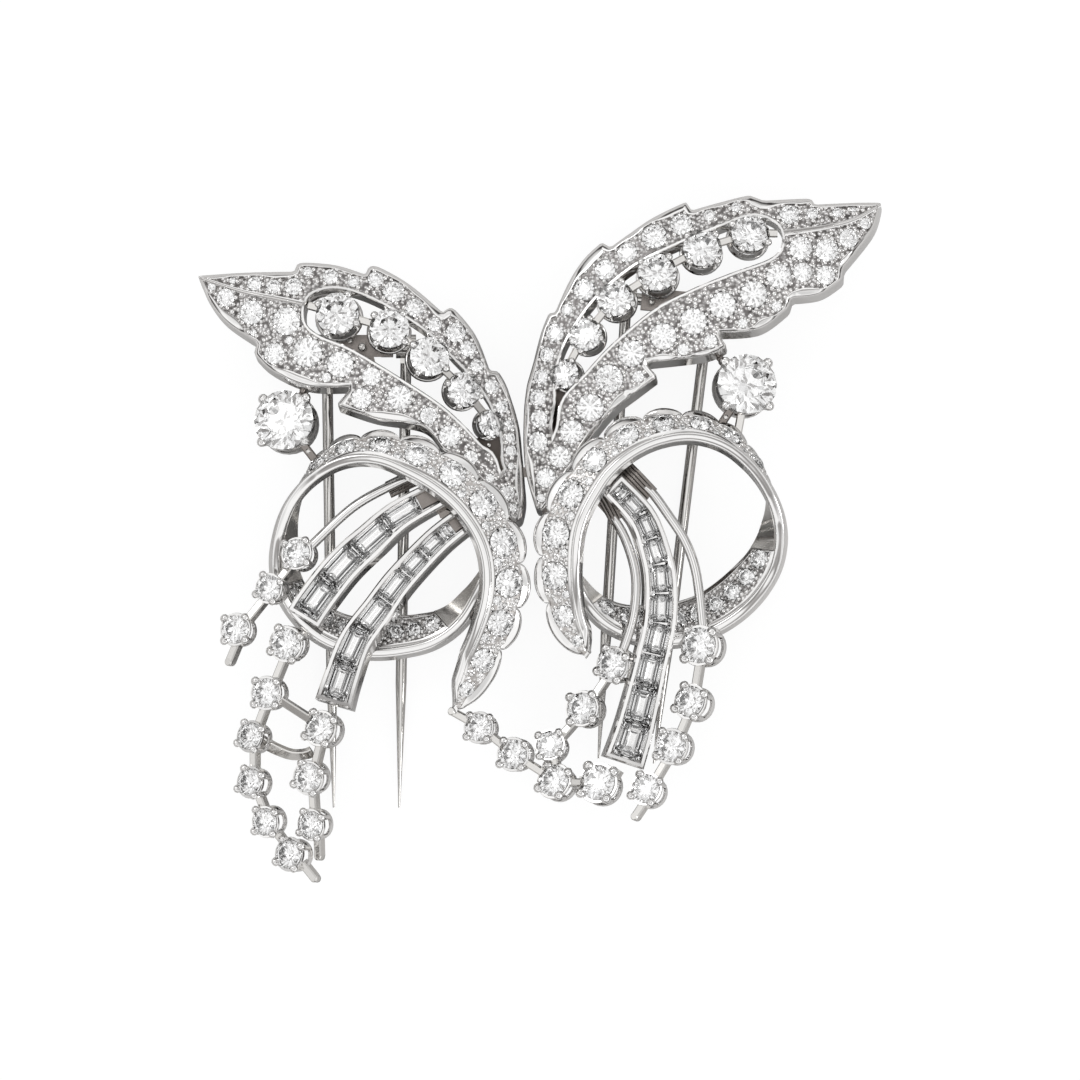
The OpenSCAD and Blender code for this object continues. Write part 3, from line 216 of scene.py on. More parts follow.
RIGHT_SCROLL_CENTRE = (13.8, 0.3)
RIGHT_SCROLL = [
    (-53, 14.5, 7.8, 0.3, -0.1), (-46, 13.3, 8.7, 1.8, -0.6), (-31, 11.8, 9.7, 3.1, -1.1),
    (-14, 10.6, 10.3, 3.5, -1.4), (6, 9.9, 10.4, 3.6, -1.5), (26, 9.4, 10.3, 3.4, -1.5),
    (40, 9.4, 10.2, 3.1, -1.5), (61, 9.5, 10.0, 2.9, -1.6), (83, 9.8, 9.7, 2.4, -1.9),
    (99, 10.1, 9.4, 2.0, -2.1), (117, 10.2, 9.0, 1.6, -2.3), (135, 10.1, 8.5, 0.8, -2.6),
    (156, 10.1, 7.8, 0.0, -2.7), (172, 10.2, 7.0, -1.5, -2.5), (195, 10.2, 6.0, -3.0, -2.4),
    (212, 10.0, 5.5, -3.6, -2.3), (230, 9.9, 4.9, -3.8, -2.1), (248, 10.0, 4.6, -3.8, -2.0),
    (270, 10.4, 4.6, -3.8, -2.0), (296, 11.0, 4.6, -3.3, -2.0), (310, 11.3, 4.9, -2.4, -1.9),
    (323, 11.3, 5.2, -1.5, -1.4), (334, 11.2, 5.8, -0.9, -0.9), (344, 11.3, 6.6, -0.5, -0.5),
]
RIGHT_NOTCHES = [-53, -27, -8, 11, 32, 53, 73, 92, 110, 127, 145]
# Angles between which the inner face of each ring is set with stones, how many, and how far in they start
LEFT_RING_SET = (196, 313)
RIGHT_RING_SET = (188, 322)
RING_COUNT = 9
RING_MARGIN = 7
# Scallops: how far they stand out, and how far the notches between them do
SCALLOP_BULGE = 1.15
SCALLOP_NOTCH = 0.35
# Millimetres that stand for a degree of sweep where the band is laid flat
SWEEP_MM = 0.19
# Band: distance from the rim at which it starts, least width, width from which its trim is full, and heights
# of its bed and of its stones' girdles
BAND_START = 0.3
BAND_LEAST = 0.7
BAND_FULL = 1.4
BAND_BED = 0.22
BAND_GIRDLE = 0.42
# Polished margins outside the beds of the crescent and the ring, at the root, and at a plate's ends; the
# width from which they are full; and how much of a scallop's bulge the outer one takes up
CRESCENT_MARGIN = 0.2
RING_BED_MARGIN = 0.3
ROOT_MARGIN = 0.4
END_MARGIN = 0.3
MARGIN_FULL = 2.4
BULGE_SHARE = 0.76
# Sections that each scallop, the set part of the ring and each plain stretch have, and degrees between those
# of the rim bead
SCALLOP_STEPS = 22
RING_STEPS = 44
PLAIN_STEPS = 16
BEAD_STEP = 1.5
# Section of a band's margin, from the back: share of the way to the bed, height
BAND_EDGE = [
    (0, -0.45), (0, 0.2), (0.05, 0.31), (0.16, 0.38), (0.5, 0.43), (0.93, 0.46), (0.98, 0.43), (1, BAND_BED),
]
# Angle from which the band turns over, and how many degrees that takes
TURN_FROM = 130
TURN_SPAN = 50
# Section of the rim bead, outwards and up, and how far its foot steps out on the side that shows
BEAD_PROFILE = [
    (-0.5, 0.16), (-0.46, 0.34), (-0.38, 0.43), (-0.26, 0.47), (0.0, 0.5), (0.26, 0.47), (0.38, 0.43),
    (0.46, 0.34), (0.5, 0.16), (0.48, -0.4), (0.52, -0.95), (0.3, -1.05), (-0.3, -1.05), (-0.52, -0.95),
    (-0.48, -0.4),
]
BEAD_LEDGE = 0.3

# Ribbons: rows of the centre line from the free end (x, y, height of the channel's top, width), lengths of
# the baguettes, how far the channel's foot stands off its top, outline of the plate, painted dark as shade,
# that carries the root under the scroll, and the bare stretch at the root
LEFT_SPLAY = (0.34, -0.3)
RIBBONS = {
    "left_upper": dict(
        rows=[(-23.7, -7.9, 7.2, 3.7), (-22.4, -5.9, 7.4, 3.7), (-19.8, -2.6, 7.5, 3.6),
              (-16.9, 0.1, 7.5, 3.4), (-14.1, 2.5, 7.5, 3.1), (-9.8, 4.9, 7.3, 2.8)],
        cuts=[3.5, 3.8, 3.7, 3.5], splay=LEFT_SPLAY, bare=2.0,
        root=[(-11.0, 3.6), (-8.8, 2.8), (-7.4, 3.6), (-8.2, 6.2), (-10.2, 7.3), (-11.4, 6.6)]),
    "left_lower": dict(
        rows=[(-20.7, -16.4, 6.6, 3.8), (-19.9, -13.8, 7.0, 3.6), (-18.5, -10.1, 7.4, 3.4),
              (-16.2, -6.9, 7.5, 3.2), (-14.0, -3.9, 7.5, 3.0), (-10.3, 0.0, 7.4, 2.8),
              (-7.2, 2.4, 7.2, 2.6)],
        cuts=[3.6, 3.7, 3.6, 3.3, 2.6, 2.4], splay=LEFT_SPLAY, bare=1.4,
        root=[(-10.0, 2.2), (-8.9, 1.9), (-6.9, 1.6), (-6.4, 2.6), (-7.2, 3.9), (-9.2, 4.6), (-10.6, 3.9)]),
    "right": dict(
        rows=[(8.4, -22.3, 6.6, 4.2), (9.4, -19.2, 7.0, 3.9), (10.4, -15.3, 7.4, 3.6),
              (11.2, -11.9, 7.5, 3.4), (12.0, -8.2, 7.5, 3.4), (12.1, -4.1, 7.5, 3.3), (11.5, -1.1, 7.5, 3.1),
              (10.2, 2.3, 7.4, 2.9), (7.2, 5.6, 7.2, 2.7)],
        cuts=[3.6, 3.5, 3.3, 3.1, 2.9, 2.8, 2.6, 2.5, 2.3], splay=(-0.32, 0.0), bare=0.0,
        root=[(4.9, 4.4), (6.8, 2.3), (9.2, 2.4), (10.9, 4.2), (10.6, 6.2), (8.4, 8.0), (6.2, 7.4)]),
}
# Depth of a channel and thickness of its walls
RIBBON_DEPTH = 1.6
RIBBON_WALL = 0.62
# Section of a channel's wall, from the foot: how far in, height
RIBBON_EDGE = [
    (0, -RIBBON_DEPTH), (0, -0.2), (0.16, -0.02), (RIBBON_WALL - 0.16, 0), (RIBBON_WALL, -0.14),
    (RIBBON_WALL, -1.25),
]
# Baguettes: distance of the first from the channel's end, how far they sit below its top, and about how long
# the further ones are that fill a stretch the given lengths leave
BAGUETTE_START = 0.66
BAGUETTE_DROP = 0.28
BAGUETTE_MORE = 3
# Steps of a baguette from its table, in widths: how far in, height
BAGUETTE_STEPS = [
    (0.31, 0.23), (0.2, 0.19), (0.09, 0.11), (0.0, 0.02), (0.0, -0.02), (0.13, -0.17), (0.27, -0.29),
    (0.42, -0.36),
]
# Lower and upper faces of the plates under the ribbons' roots, and the bar in a bare stretch, both painted
# dark
# as shade: how far below the channel's top, and its height
ROOT_Z = (5.0, 5.75)
BARE_DROP = 0.7
BARE_HEIGHT = 0.6

# Sprays: stones (x, y, radius), pairs that bars join, height of the girdles, lean of the heads, stubs and
# side bars (stone, end), plain wire from the frame, middle of the bundle of fine wires that carries it under
# the scroll, and the sagging gallery bar
LEFT_LEAN = (-0.52, 0.08)
RIGHT_LEAN = (-0.46, 0.2)
SPRAYS = {
    "left_short": dict(
        stones=[(-24.4, -1.3, 1.45), (-27.2, -4.8, 1.35), (-30.5, -8.9, 1.45)], pairs=[(0, 1), (1, 2)], z=7.4,
        lean=LEFT_LEAN, stubs=[(2, (-31.0, -12.2))],
        wire=[(-11.0, 7.2, 6.1), (-14.8, 5.5, 6.4), (-18.8, 3.2, 6.6)],
        bundle=[(-9.4, 7.3, 5.8), (-12.4, 6.3, 5.9), (-15.2, 5.0, 6.0)]),
    "left_long": dict(
        stones=[(-25.5, -10.4, 1.6), (-27.5, -15.3, 1.5), (-29.1, -19.6, 1.4), (-29.1, -24.2, 1.4),
                (-27.6, -28.2, 1.4), (-25.2, -31.4, 1.5), (-22.1, -18.8, 1.6), (-23.3, -23.8, 1.5),
                (-23.0, -28.5, 1.4)],
        pairs=[(0, 1), (1, 2), (2, 3), (3, 4), (4, 5), (1, 6), (6, 7), (7, 8)], z=6.4, lean=LEFT_LEAN,
        stubs=[(5, (-22.5, -33.9)), (8, (-22.1, -31.7))], joints=[(0, (-23.9, -9.2)), (6, (-21.1, -17.6))],
        gallery=[(-28.0, -20.1, 4.9), (-26.6, -20.9, 4.8), (-25.0, -21.5, 4.8), (-23.6, -21.5, 4.9),
                 (-22.8, -21.2, 5.0)]),
    "right_outer": dict(
        stones=[(15.8, -10.5, 1.8), (14.9, -16.1, 1.6), (13.0, -20.6, 1.6), (10.5, -24.8, 1.5)],
        pairs=[(0, 1), (1, 2), (2, 3)], z=7.3, lean=RIGHT_LEAN, stubs=[(3, (9.6, -27.7))],
        wire=[(10.6, 5.3, 6.3), (11.4, 4.5, 6.4), (12.9, 2.4, 6.6), (14.4, 0.1, 6.6), (15.4, -2.4, 6.6),
              (15.9, -5.2, 6.5)],
        bundle=[(7.6, 8.1, 6.3), (9.4, 6.3, 6.6), (11.1, 4.5, 6.5)]),
    "right_inner": dict(
        stones=[(7.1, -12.4, 1.6), (4.1, -16.8, 1.6), (0.9, -20.4, 1.4), (-6.2, -18.7, 1.4),
                (-2.8, -21.4, 1.5), (1.3, -24.0, 1.6), (5.7, -24.2, 1.8)],
        pairs=[(0, 1), (1, 2), (2, 5), (3, 4), (4, 5), (5, 6)], z=7.1, lean=RIGHT_LEAN,
        stubs=[(3, (-8.7, -17.2))], joints=[(6, (7.9, -23.0))],
        wire=[(7.3, 2.2, 6.2), (8.4, 0.4, 6.3), (9.4, -2.6, 6.3), (9.6, -5.2, 6.3), (9.2, -8.2, 6.2)],
        bundle=[(5.0, 6.3, 6.1), (6.4, 4.5, 6.5), (7.8, 2.0, 6.4)]),
}
# How far each head leans its own way from its spray's lean
OWN_LEAN = 0.13
# Flat bars of the sprays, and the bevel of every flat bar's upper edges
BAR_WIDTH = 0.8
BAR_HEIGHT = 1.0
BAR_BEVEL = 0.13
# How far the spray bars lie below the girdles
BAR_DROP = 1.05
# Section of the round end of a stub
STUB_END = [(0.0, -0.5), (0.36, -0.5), (0.42, -0.4), (0.42, 0.37), (0.32, 0.5), (0.0, 0.5)]
# Plain wires, and how many fine ones make a bundle
WIRE_R = 0.48
BUNDLE_COUNT = 5
FINE_WIRE_R = 0.17
# Gallery bar, and the direction that its face turns to
GALLERY_WIDTH = 1.3
GALLERY_THICK = 0.5
GALLERY_UP = (0.2, -0.75, 0.65)

# Solitaires: x, y and radius; the side that the head leans to; ends of the arms, of which the first is
# painted dark as shade and riveted; a bead beside the head and the end of the short arm that carries it to
# the leaf
SOLITAIRES = {
    "left": dict(
        place=(-25.6, 12.0, 3.05), hand=-1, arms=[(-22.5, 8.0)], knob=[(-23.7, 14.9), (-22.5, 16.0)]),
    "right": dict(
        place=(20.7, 15.6, 3.05), hand=1, arms=[(17.9, 11.2), (19.7, 10.2)],
        knob=[(18.2, 17.8), (17.3, 19.0)]),
}
SOLITAIRE_LEAN = (0.22, 0.2)
SOLITAIRE_Z = 7.2
# Width and height of the arms and of the short ones, and how far they lie below the girdle: an arm at its
# start and its end, and a short one
ARM_SIZE = (0.84, 0.8)
KNOB_ARM_SIZE = (0.7, 0.7)
ARM_DROP = (1.3, 1.5)
KNOB_ARM_DROP = 1.2
# Rivet head: distance from the stone's middle in radii, depth below the girdle, and section
RIVET_OUT = 1.29
RIVET_DROP = 1.0
RIVET = [(0.0, -0.3), (0.26, -0.3), (0.26, 0.05), (0.17, 0.15), (0.0, 0.18)]
# Bead: radius, and from its foot to its top the heights above the girdle and the shares of that radius
KNOB_R = 0.36
KNOB_RINGS = [(-1.3, 1.0), (-0.5, 1.0), (-0.25, 0.9), (-0.08, 0.55), (0.0, 0.1)]

# Light by the cosine of its angle from straight up: dim room, ring of panels, gap, overhead softbox
ROOM_STOPS = [
    (0.0, "#E6E5E5"), (0.09, "#DEDDDC"), (0.14, "#484544"), (0.25, "#484544"), (0.31, "#CECDCC"),
    (0.4, "#FFFFFF"), (0.82, "#FFFFFF"), (0.86, "#A19F9E"), (0.92, "#A19F9E"), (0.95, "#FFFFFF"),
    (1.0, "#FFFFFF"),
]
# In metres: the photograph looks straight down and takes in 108 mm of the brooch's own plane
CAMERA_HEIGHT = 0.7
FACE_HEIGHT = 0.0065
VIEW_WIDTH = 0.108
SENSOR_MM = 36.0
FLOOR_HALF = 0.6


# Materials

def linear(code):
    """Linear colour of an sRGB hex value."""
    parts = [int(code[i:i + 2], 16) / 255 for i in (1, 3, 5)]
    return tuple(c / 12.92 if c <= 0.04045 else ((c + 0.055) / 1.055) ** 2.4 for c in parts) + (1.0,)


def add_node(tree, kind, inputs=None, **settings):
    """A node with its settings, and for each input a value or the socket that feeds it."""
    made = tree.nodes.new(kind)
    for key, value in settings.items():
        setattr(made, key, value)
    for key, value in (inputs or {}).items():
        if isinstance(value, bpy.types.NodeSocket):
            tree.links.new(value, made.inputs[key])
        else:
            made.inputs[key].default_value = value
    return made


def add_ramp(tree, value, stops):
    """Colour from a ramp of (place, sRGB hex) stops, read at a value."""
    made = add_node(tree, "ShaderNodeValToRGB", {"Fac": value})
    elements = made.color_ramp.elements
    while len(elements) < len(stops):
        elements.new(0.5)
    for stop, (place, code) in zip(elements, stops):
        stop.position = place
        stop.color = linear(code)
    return made.outputs["Color"]


def new_material(name):
    """An empty node material and its tree."""
    made = bpy.data.materials.new(name)
    made.use_nodes = True
    made.node_tree.nodes.clear()
    return made, made.node_tree


def surface(tree, inputs):
    """A principled shader with these inputs on the material's output."""
    shader = add_node(tree, "ShaderNodeBsdfPrincipled", inputs)
    add_node(tree, "ShaderNodeOutputMaterial", {"Surface": shader.outputs["BSDF"]})


def metal(name, colour, rough_low, rough_high, wear_mm, mark_mm, mark_depth_mm):
    """Metal whose gloss wanders at the size of wear_mm and which carries fine marks mark_mm apart."""
    made, tree = new_material(name)
    where = add_node(tree, "ShaderNodeTexCoord").outputs["Object"]
    wear = add_node(tree, "ShaderNodeTexNoise", {
        "Vector": where, "Scale": 1 / (wear_mm * MM), "Detail": 3.0, "Roughness": 0.55})
    rough = add_node(tree, "ShaderNodeMapRange", {
        "Value": wear.outputs["Fac"], "From Min": 0.3, "From Max": 0.7,
        "To Min": rough_low, "To Max": rough_high})
    marks = add_node(tree, "ShaderNodeTexNoise", {
        "Vector": where, "Scale": 1 / (mark_mm * MM), "Detail": 2.0})
    bump = add_node(tree, "ShaderNodeBump", {
        "Height": marks.outputs["Fac"], "Distance": mark_depth_mm * MM, "Strength": 1.0})
    surface(tree, {"Base Color": linear(colour), "Metallic": 1.0, "Roughness": rough.outputs["Result"],
                   "Normal": bump.outputs["Normal"]})
    return made


def beaded_metal_painted_light(name, highlight_and_shade_tints, bead_mm, rise_mm):
    """Metal bumped all over into small beads, its colour painted bright on their tops as a highlight and dark
    in the cuts between them as shade.
    """
    made, tree = new_material(name)
    where = add_node(tree, "ShaderNodeTexCoord").outputs["Object"]
    beads = add_node(tree, "ShaderNodeTexVoronoi", {
        "Vector": where, "Scale": 1 / (bead_mm * MM), "Randomness": 0.9}).outputs["Distance"]
    height = add_node(tree, "ShaderNodeMapRange", {
        "Value": beads, "From Max": 0.6, "To Min": 1.0, "To Max": 0.0})
    bump = add_node(tree, "ShaderNodeBump", {
        "Height": height.outputs["Result"], "Distance": rise_mm * MM, "Strength": 1.0})
    # Colour painted by the distance from each bead's middle: highlight on top, shade in the cuts
    surface(tree, {"Base Color": add_ramp(tree, beads, highlight_and_shade_tints), "Metallic": 1.0, "Roughness": 0.2,
                   "Normal": bump.outputs["Normal"]})
    return made


def cut_diamond():
    """Colourless diamond, cut and polished: clear and glossy, with facets that flicker bright and dark."""
    made, tree = new_material("cut diamond")
    surface(tree, {"Base Color": linear("#FFFFFF"), "Roughness": 0.0, "IOR": 2.417,
                   "Transmission Weight": 1.0})
    return made


# Platinum polished with rouge: a white mirror with the faint waviness of hand finishing
POLISHED = metal("polished platinum", "#E9E8E7", 0.05, 0.12, 2.5, 0.6, 0.0012)
# Bright-cut platinum between the stones: graver beads in the bump, with a painted highlight on each and
# painted shade in the cuts between them
BRIGHT_CUT_PAINTED_LIGHT = beaded_metal_painted_light(
    "bright-cut platinum with painted highlights and shade", [(0.2, "#F4F3F3"), (0.44, "#C9C7C6"), (0.7, "#716E6D")], 0.4, 0.16)
# The same work on the scrolls, cut finer, with lighter painted highlights and shade
LIGHT_CUT_PAINTED_LIGHT = beaded_metal_painted_light(
    "light cut platinum with painted highlights and shade", [(0.2, "#FCFBFB"), (0.44, "#EFEEED"), (0.7, "#B5B1AE")], 0.4, 0.1)
# Platinum wire, bars, the plain ring and the pins: drawn and polished, slightly softer than the face
DRAWN = metal("drawn platinum", "#D8D6D3", 0.1, 0.18, 3.0, 0.35, 0.0015)
# Back frames, root plates, bundles and dark arms: brushed platinum, its colour painted dark as the shade that
# lies under the face
BRUSHED_PAINTED_SHADE = metal("brushed platinum in painted shade", "#8C8682", 0.2, 0.32, 2.0, 0.2, 0.004)
# Plates deep behind the slits: platinum painted dark grey as the shade in the deep slits, so that it gives
# back little light
SLIT_PAINTED_SHADE = metal("slit plate platinum in painted shade", "#5C5652", 0.3, 0.42, 2.0, 0.3, 0.006)
DIAMOND = cut_diamond()


# Mesh helpers

def unit(v):
    """The vector at length 1."""
    v = np.asarray(v, float)
    return v / np.linalg.norm(v)


def smooth(rows, t):
    """Point of the smooth curve through the rows, t counting rows."""
    rows = np.asarray(rows, float)
    last = len(rows) - 1
    i = int(min(math.floor(t), last - 1))
    f = t - i
    a, b, c, d = (rows[min(max(k, 0), last)] for k in (i - 1, i, i + 1, i + 2))
    square, cube = 2 * a - 5 * b + 4 * c - d, 3 * b - a - 3 * c + d
    return 0.5 * (2 * b + (c - a) * f + square * f ** 2 + cube * f ** 3)


def running_length(points):
    """Length along the points up to each of them."""
    return np.concatenate([[0], np.cumsum(np.linalg.norm(np.diff(points, axis=0), axis=1))])


def curve(rows, pitch):
    """Even points, about pitch apart, along the smooth curve through the rows."""
    spans = len(rows) - 1
    count = 24 * spans
    fine = np.array([smooth(rows, spans * i / count) for i in range(count + 1)])
    runs = running_length(fine[:, :2])
    marks = np.linspace(0, runs[-1], max(2, round(runs[-1] / pitch)) + 1)
    return np.stack([np.interp(marks, runs, column) for column in fine.T], axis=1)


def closed_loop(points):
    """The points as a closed outline, counter-clockwise and without repeats."""
    kept = [p for i, p in enumerate(points) if math.dist(p[:2], points[i - 1][:2]) > 0.04]
    loop = np.array(kept, float)[:, :2]
    x, y = loop.T
    area = np.dot(x, np.roll(y, -1)) - np.dot(y, np.roll(x, -1))
    return loop if area > 0 else loop[::-1]


def edge_distance(points, loop):
    """Distance from each point to the closed outline."""
    # NaN throughout where an outline repeats a point, as the bed outlines of the leaves and the crescents do:
    # those beds get no fill points, and the grains on them don't keep GRAIN_CLEAR from the bed's edge
    a = loop
    run = np.roll(loop, -1, 0) - a
    off = points[:, None, :] - a[None]
    share = np.clip((off * run).sum(2) / (run * run).sum(1), 0, 1)
    return np.linalg.norm(off - share[..., None] * run, axis=2).min(1)


def inside(points, loop):
    """Whether each point lies inside the closed outline."""
    a, b = loop, np.roll(loop, -1, 0)
    x, y = points[:, :1], points[:, 1:2]
    straddles = (a[:, 1] > y) != (b[:, 1] > y)
    rise = np.where(b[:, 1] == a[:, 1], 1e-12, b[:, 1] - a[:, 1])
    crosses = x < (b[:, 0] - a[:, 0]) * (y - a[:, 1]) / rise + a[:, 0]
    return (straddles & crosses).sum(1) % 2 == 1


def inset(loop, distance, room=1.0):
    """The closed outline moved inwards with mitred corners; points that would cross join their neighbours."""
    if distance == 0:
        return loop.copy()
    before = loop - np.roll(loop, 1, 0)
    after = np.roll(loop, -1, 0) - loop
    before /= np.linalg.norm(before, axis=1)[:, None]
    after /= np.linalg.norm(after, axis=1)[:, None]
    inward = np.stack([-before[:, 1] - after[:, 1], before[:, 0] + after[:, 0]], axis=1)
    inward /= np.maximum(np.linalg.norm(inward, axis=1), 1e-6)[:, None]
    lean = inward[:, 0] * -before[:, 1] + inward[:, 1] * before[:, 0]
    far = distance * room * np.ones(len(loop))
    moved = loop + inward * (far / np.maximum(lean, 0.3))[:, None]
    good = np.flatnonzero(edge_distance(moved, loop) > 0.9 * np.abs(far))
    if len(good) == 0:
        return moved
    for i in set(range(len(loop))) - set(good.tolist()):
        hops = np.abs(good - i)
        moved[i] = moved[good[np.minimum(hops, len(loop) - hops).argmin()]]
    return moved


def skin(rings, looped=False, capped=False):
    """Points and faces over rings of equal count; capped closes both ends."""
    n, m = len(rings), len(rings[0])
    points = [p for ring in rings for p in ring]
    faces = []
    for i in range(n if looped else n - 1):
        k = (i + 1) % n
        for j in range(m):
            j2 = (j + 1) % m
            faces.append((i * m + j, i * m + j2, k * m + j2, k * m + j))
    if capped:
        faces.append(tuple(range(m)))
        faces.append(tuple(range((n - 1) * m, n * m)))
    return points, faces


def slab(outline, heights):
    """A flat plate of one outline between two heights."""
    return skin([[(x, y, z) for x, y in outline] for z in heights], capped=True)


def turns(count, offset=0):
    """Angles that divide the circle evenly."""
    return [2 * math.pi * (i + offset) / count for i in range(count)]


def lathe(profile, segments, looped=True):
    """A profile of (radius, height) turned about Z; looped joins its last point to its first."""
    rings = [[(r * math.cos(a), r * math.sin(a), z) for a in turns(segments)] for r, z in profile]
    return skin(rings, looped, not looped)


def axes(direction):
    """Two unit vectors square to a direction."""
    w = unit(direction)
    helper = np.array([0.0, 0.0, 1.0]) if abs(w[2]) < 0.9 else np.array([0.0, 1.0, 0.0])
    u = unit(np.cross(helper, w))
    return u, np.cross(w, u)


def placed(shell, at, direction=(0, 0, 1)):
    """A shell moved so that its Z axis points along the direction."""
    points, faces = shell
    return np.asarray(points, float) @ np.array([*axes(direction), unit(direction)]) + at, faces


def circle(centre, u, v, radius, count):
    """Points of a circle in the plane of two unit vectors."""
    return [centre + radius * (u * math.cos(a) + v * math.sin(a)) for a in turns(count)]


def headings(path):
    """Direction of a path at each of its points."""
    last = len(path) - 1
    return [unit(path[min(i + 1, last)] - path[max(i - 1, 0)]) for i in range(last + 1)]


def tube(path, radii, sides=10):
    """A round rod along a path with a radius at each point, closed at both ends."""
    path = np.asarray(path, float)
    rings, u = [], None
    for p, w, radius in zip(path, headings(path), radii):
        u = axes(w)[0] if u is None else unit(u - w * np.dot(u, w))
        rings.append(circle(p, u, np.cross(w, u), radius, sides))
    return skin(rings, capped=True)


def strip(path, profile, shares, up=(0, 0, 1)):
    """A bar of one profile (across, up) along a path, with a share of its size at each point."""
    path = np.asarray(path, float)
    rings = []
    for p, run, share in zip(path, headings(path), shares):
        side = unit(np.cross(up, run))
        rings.append([p + (side * a + np.cross(run, side) * b) * share for a, b in profile])
    return skin(rings, capped=True)


def flat_bar(p, q, width, height, lean=(0, 0)):
    """A flat bar with bevelled edges between two points, its broad side up."""
    w, h, b = width / 2, height / 2, BAR_BEVEL
    corners = [(-w, -h), (w, -h), (w, h - b), (w - b, h), (b - w, h), (-w, h - b)]
    return strip([p, q], corners, (1, 1), (*lean, 1))


def mesh_of(name, shells, finish, crease_deg=32, flat_facets=False, bed=None, bed_finish=None):
    """One closed mesh of several shells: doubles merged, faces outwards, creases kept, the bed's finish."""
    points, faces, cut = [], [], []
    for index, (shell_points, shell_faces) in enumerate(shells):
        first = len(points)
        points.extend(Vector(p) * MM for p in shell_points)
        faces.extend([tuple(first + i for i in face) for face in shell_faces])
        cut.extend([int(index == bed)] * len(shell_faces))
    mesh = bpy.data.meshes.new(name)
    mesh.from_pydata(points, [], faces)
    mesh.materials.append(finish)
    if bed_finish:
        mesh.materials.append(bed_finish)
        mesh.polygons.foreach_set("material_index", cut)
    work = bmesh.new()
    work.from_mesh(mesh)
    bmesh.ops.remove_doubles(work, verts=work.verts, dist=0.003 * MM)
    bmesh.ops.recalc_face_normals(work, faces=work.faces)
    work.to_mesh(mesh)
    work.free()
    mesh.polygons.foreach_set("use_smooth", [not flat_facets] * len(mesh.polygons))
    if not flat_facets:
        mesh.set_sharp_from_angle(angle=math.radians(crease_deg))
    return mesh


def fuse(name, meshes):
    """One body of several meshes, each keeping its finish."""
    joined = bmesh.new()
    finishes = []
    for mesh in meshes:
        first = len(joined.faces)
        joined.from_mesh(mesh)
        joined.faces.ensure_lookup_table()
        finishes.extend(finish for finish in mesh.materials if finish not in finishes)
        for face in joined.faces[first:]:
            face.material_index = finishes.index(mesh.materials[face.material_index])
    body = bpy.data.meshes.new(name)
    joined.to_mesh(body)
    joined.free()
    for finish in finishes:
        body.materials.append(finish)
    return body


def add_object(name, data):
    """An object in the scene."""
    made = bpy.data.objects.new(name, data)
    bpy.context.scene.collection.objects.link(made)
    return made


def show(name, meshes, replaced):
    """A finished piece of the brooch's body that stands for the named nodes."""
    made = add_object(name, fuse(name, meshes))
    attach(made, "brooch")
    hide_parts(*replaced)
    "diamond" if "stone" in replaced[0] or replaced[0].endswith("solitaire") else "platinum"


# Geometry Nodes: one tree sets copies of a shape on points

def setting_tree():
    """Copies of one shape on points, each turned to its facing, spun and sized, as one realized mesh."""
    tree = bpy.data.node_groups.new("set on places", "GeometryNodeTree")
    for name, kind in (("Places", "NodeSocketGeometry"), ("Shape", "NodeSocketObject"),
                       ("Finish", "NodeSocketMaterial"), ("Size Factor", "NodeSocketFloat")):
        tree.interface.new_socket(name, in_out="INPUT", socket_type=kind)
    tree.interface.new_socket("Geometry", in_out="OUTPUT", socket_type="NodeSocketGeometry")
    given = add_node(tree, "NodeGroupInput").outputs

    def stored(name, kind="FLOAT"):
        found = add_node(tree, "GeometryNodeInputNamedAttribute", {"Name": name}, data_type=kind)
        return found.outputs["Attribute"]

    scale = add_node(tree, "ShaderNodeMath", {
        0: stored("size"), 1: given["Size Factor"]}, operation="MULTIPLY")
    turn = add_node(tree, "FunctionNodeAxisAngleToRotation", {
        "Axis": (0.0, 0.0, 1.0), "Angle": stored("spin")})
    aim = add_node(tree, "FunctionNodeAlignRotationToVector", {
        "Vector": stored("facing", "FLOAT_VECTOR")}, axis="Z")
    both = add_node(tree, "FunctionNodeRotateRotation", {
        "Rotation": aim.outputs["Rotation"], "Rotate By": turn.outputs["Rotation"]}, rotation_space="LOCAL")
    shape = add_node(tree, "GeometryNodeObjectInfo", {"Object": given["Shape"]}, transform_space="ORIGINAL")
    copies = add_node(tree, "GeometryNodeInstanceOnPoints", {
        "Points": given["Places"], "Instance": shape.outputs["Geometry"],
        "Rotation": both.outputs["Rotation"], "Scale": scale.outputs["Value"]})
    real = add_node(tree, "GeometryNodeRealizeInstances", {"Geometry": copies.outputs["Instances"]})
    dressed = add_node(tree, "GeometryNodeSetMaterial", {
        "Geometry": real.outputs["Geometry"], "Material": given["Finish"]})
    add_node(tree, "NodeGroupOutput", {"Geometry": dressed.outputs["Geometry"]})
    return tree


SET_ON_PLACES = setting_tree()


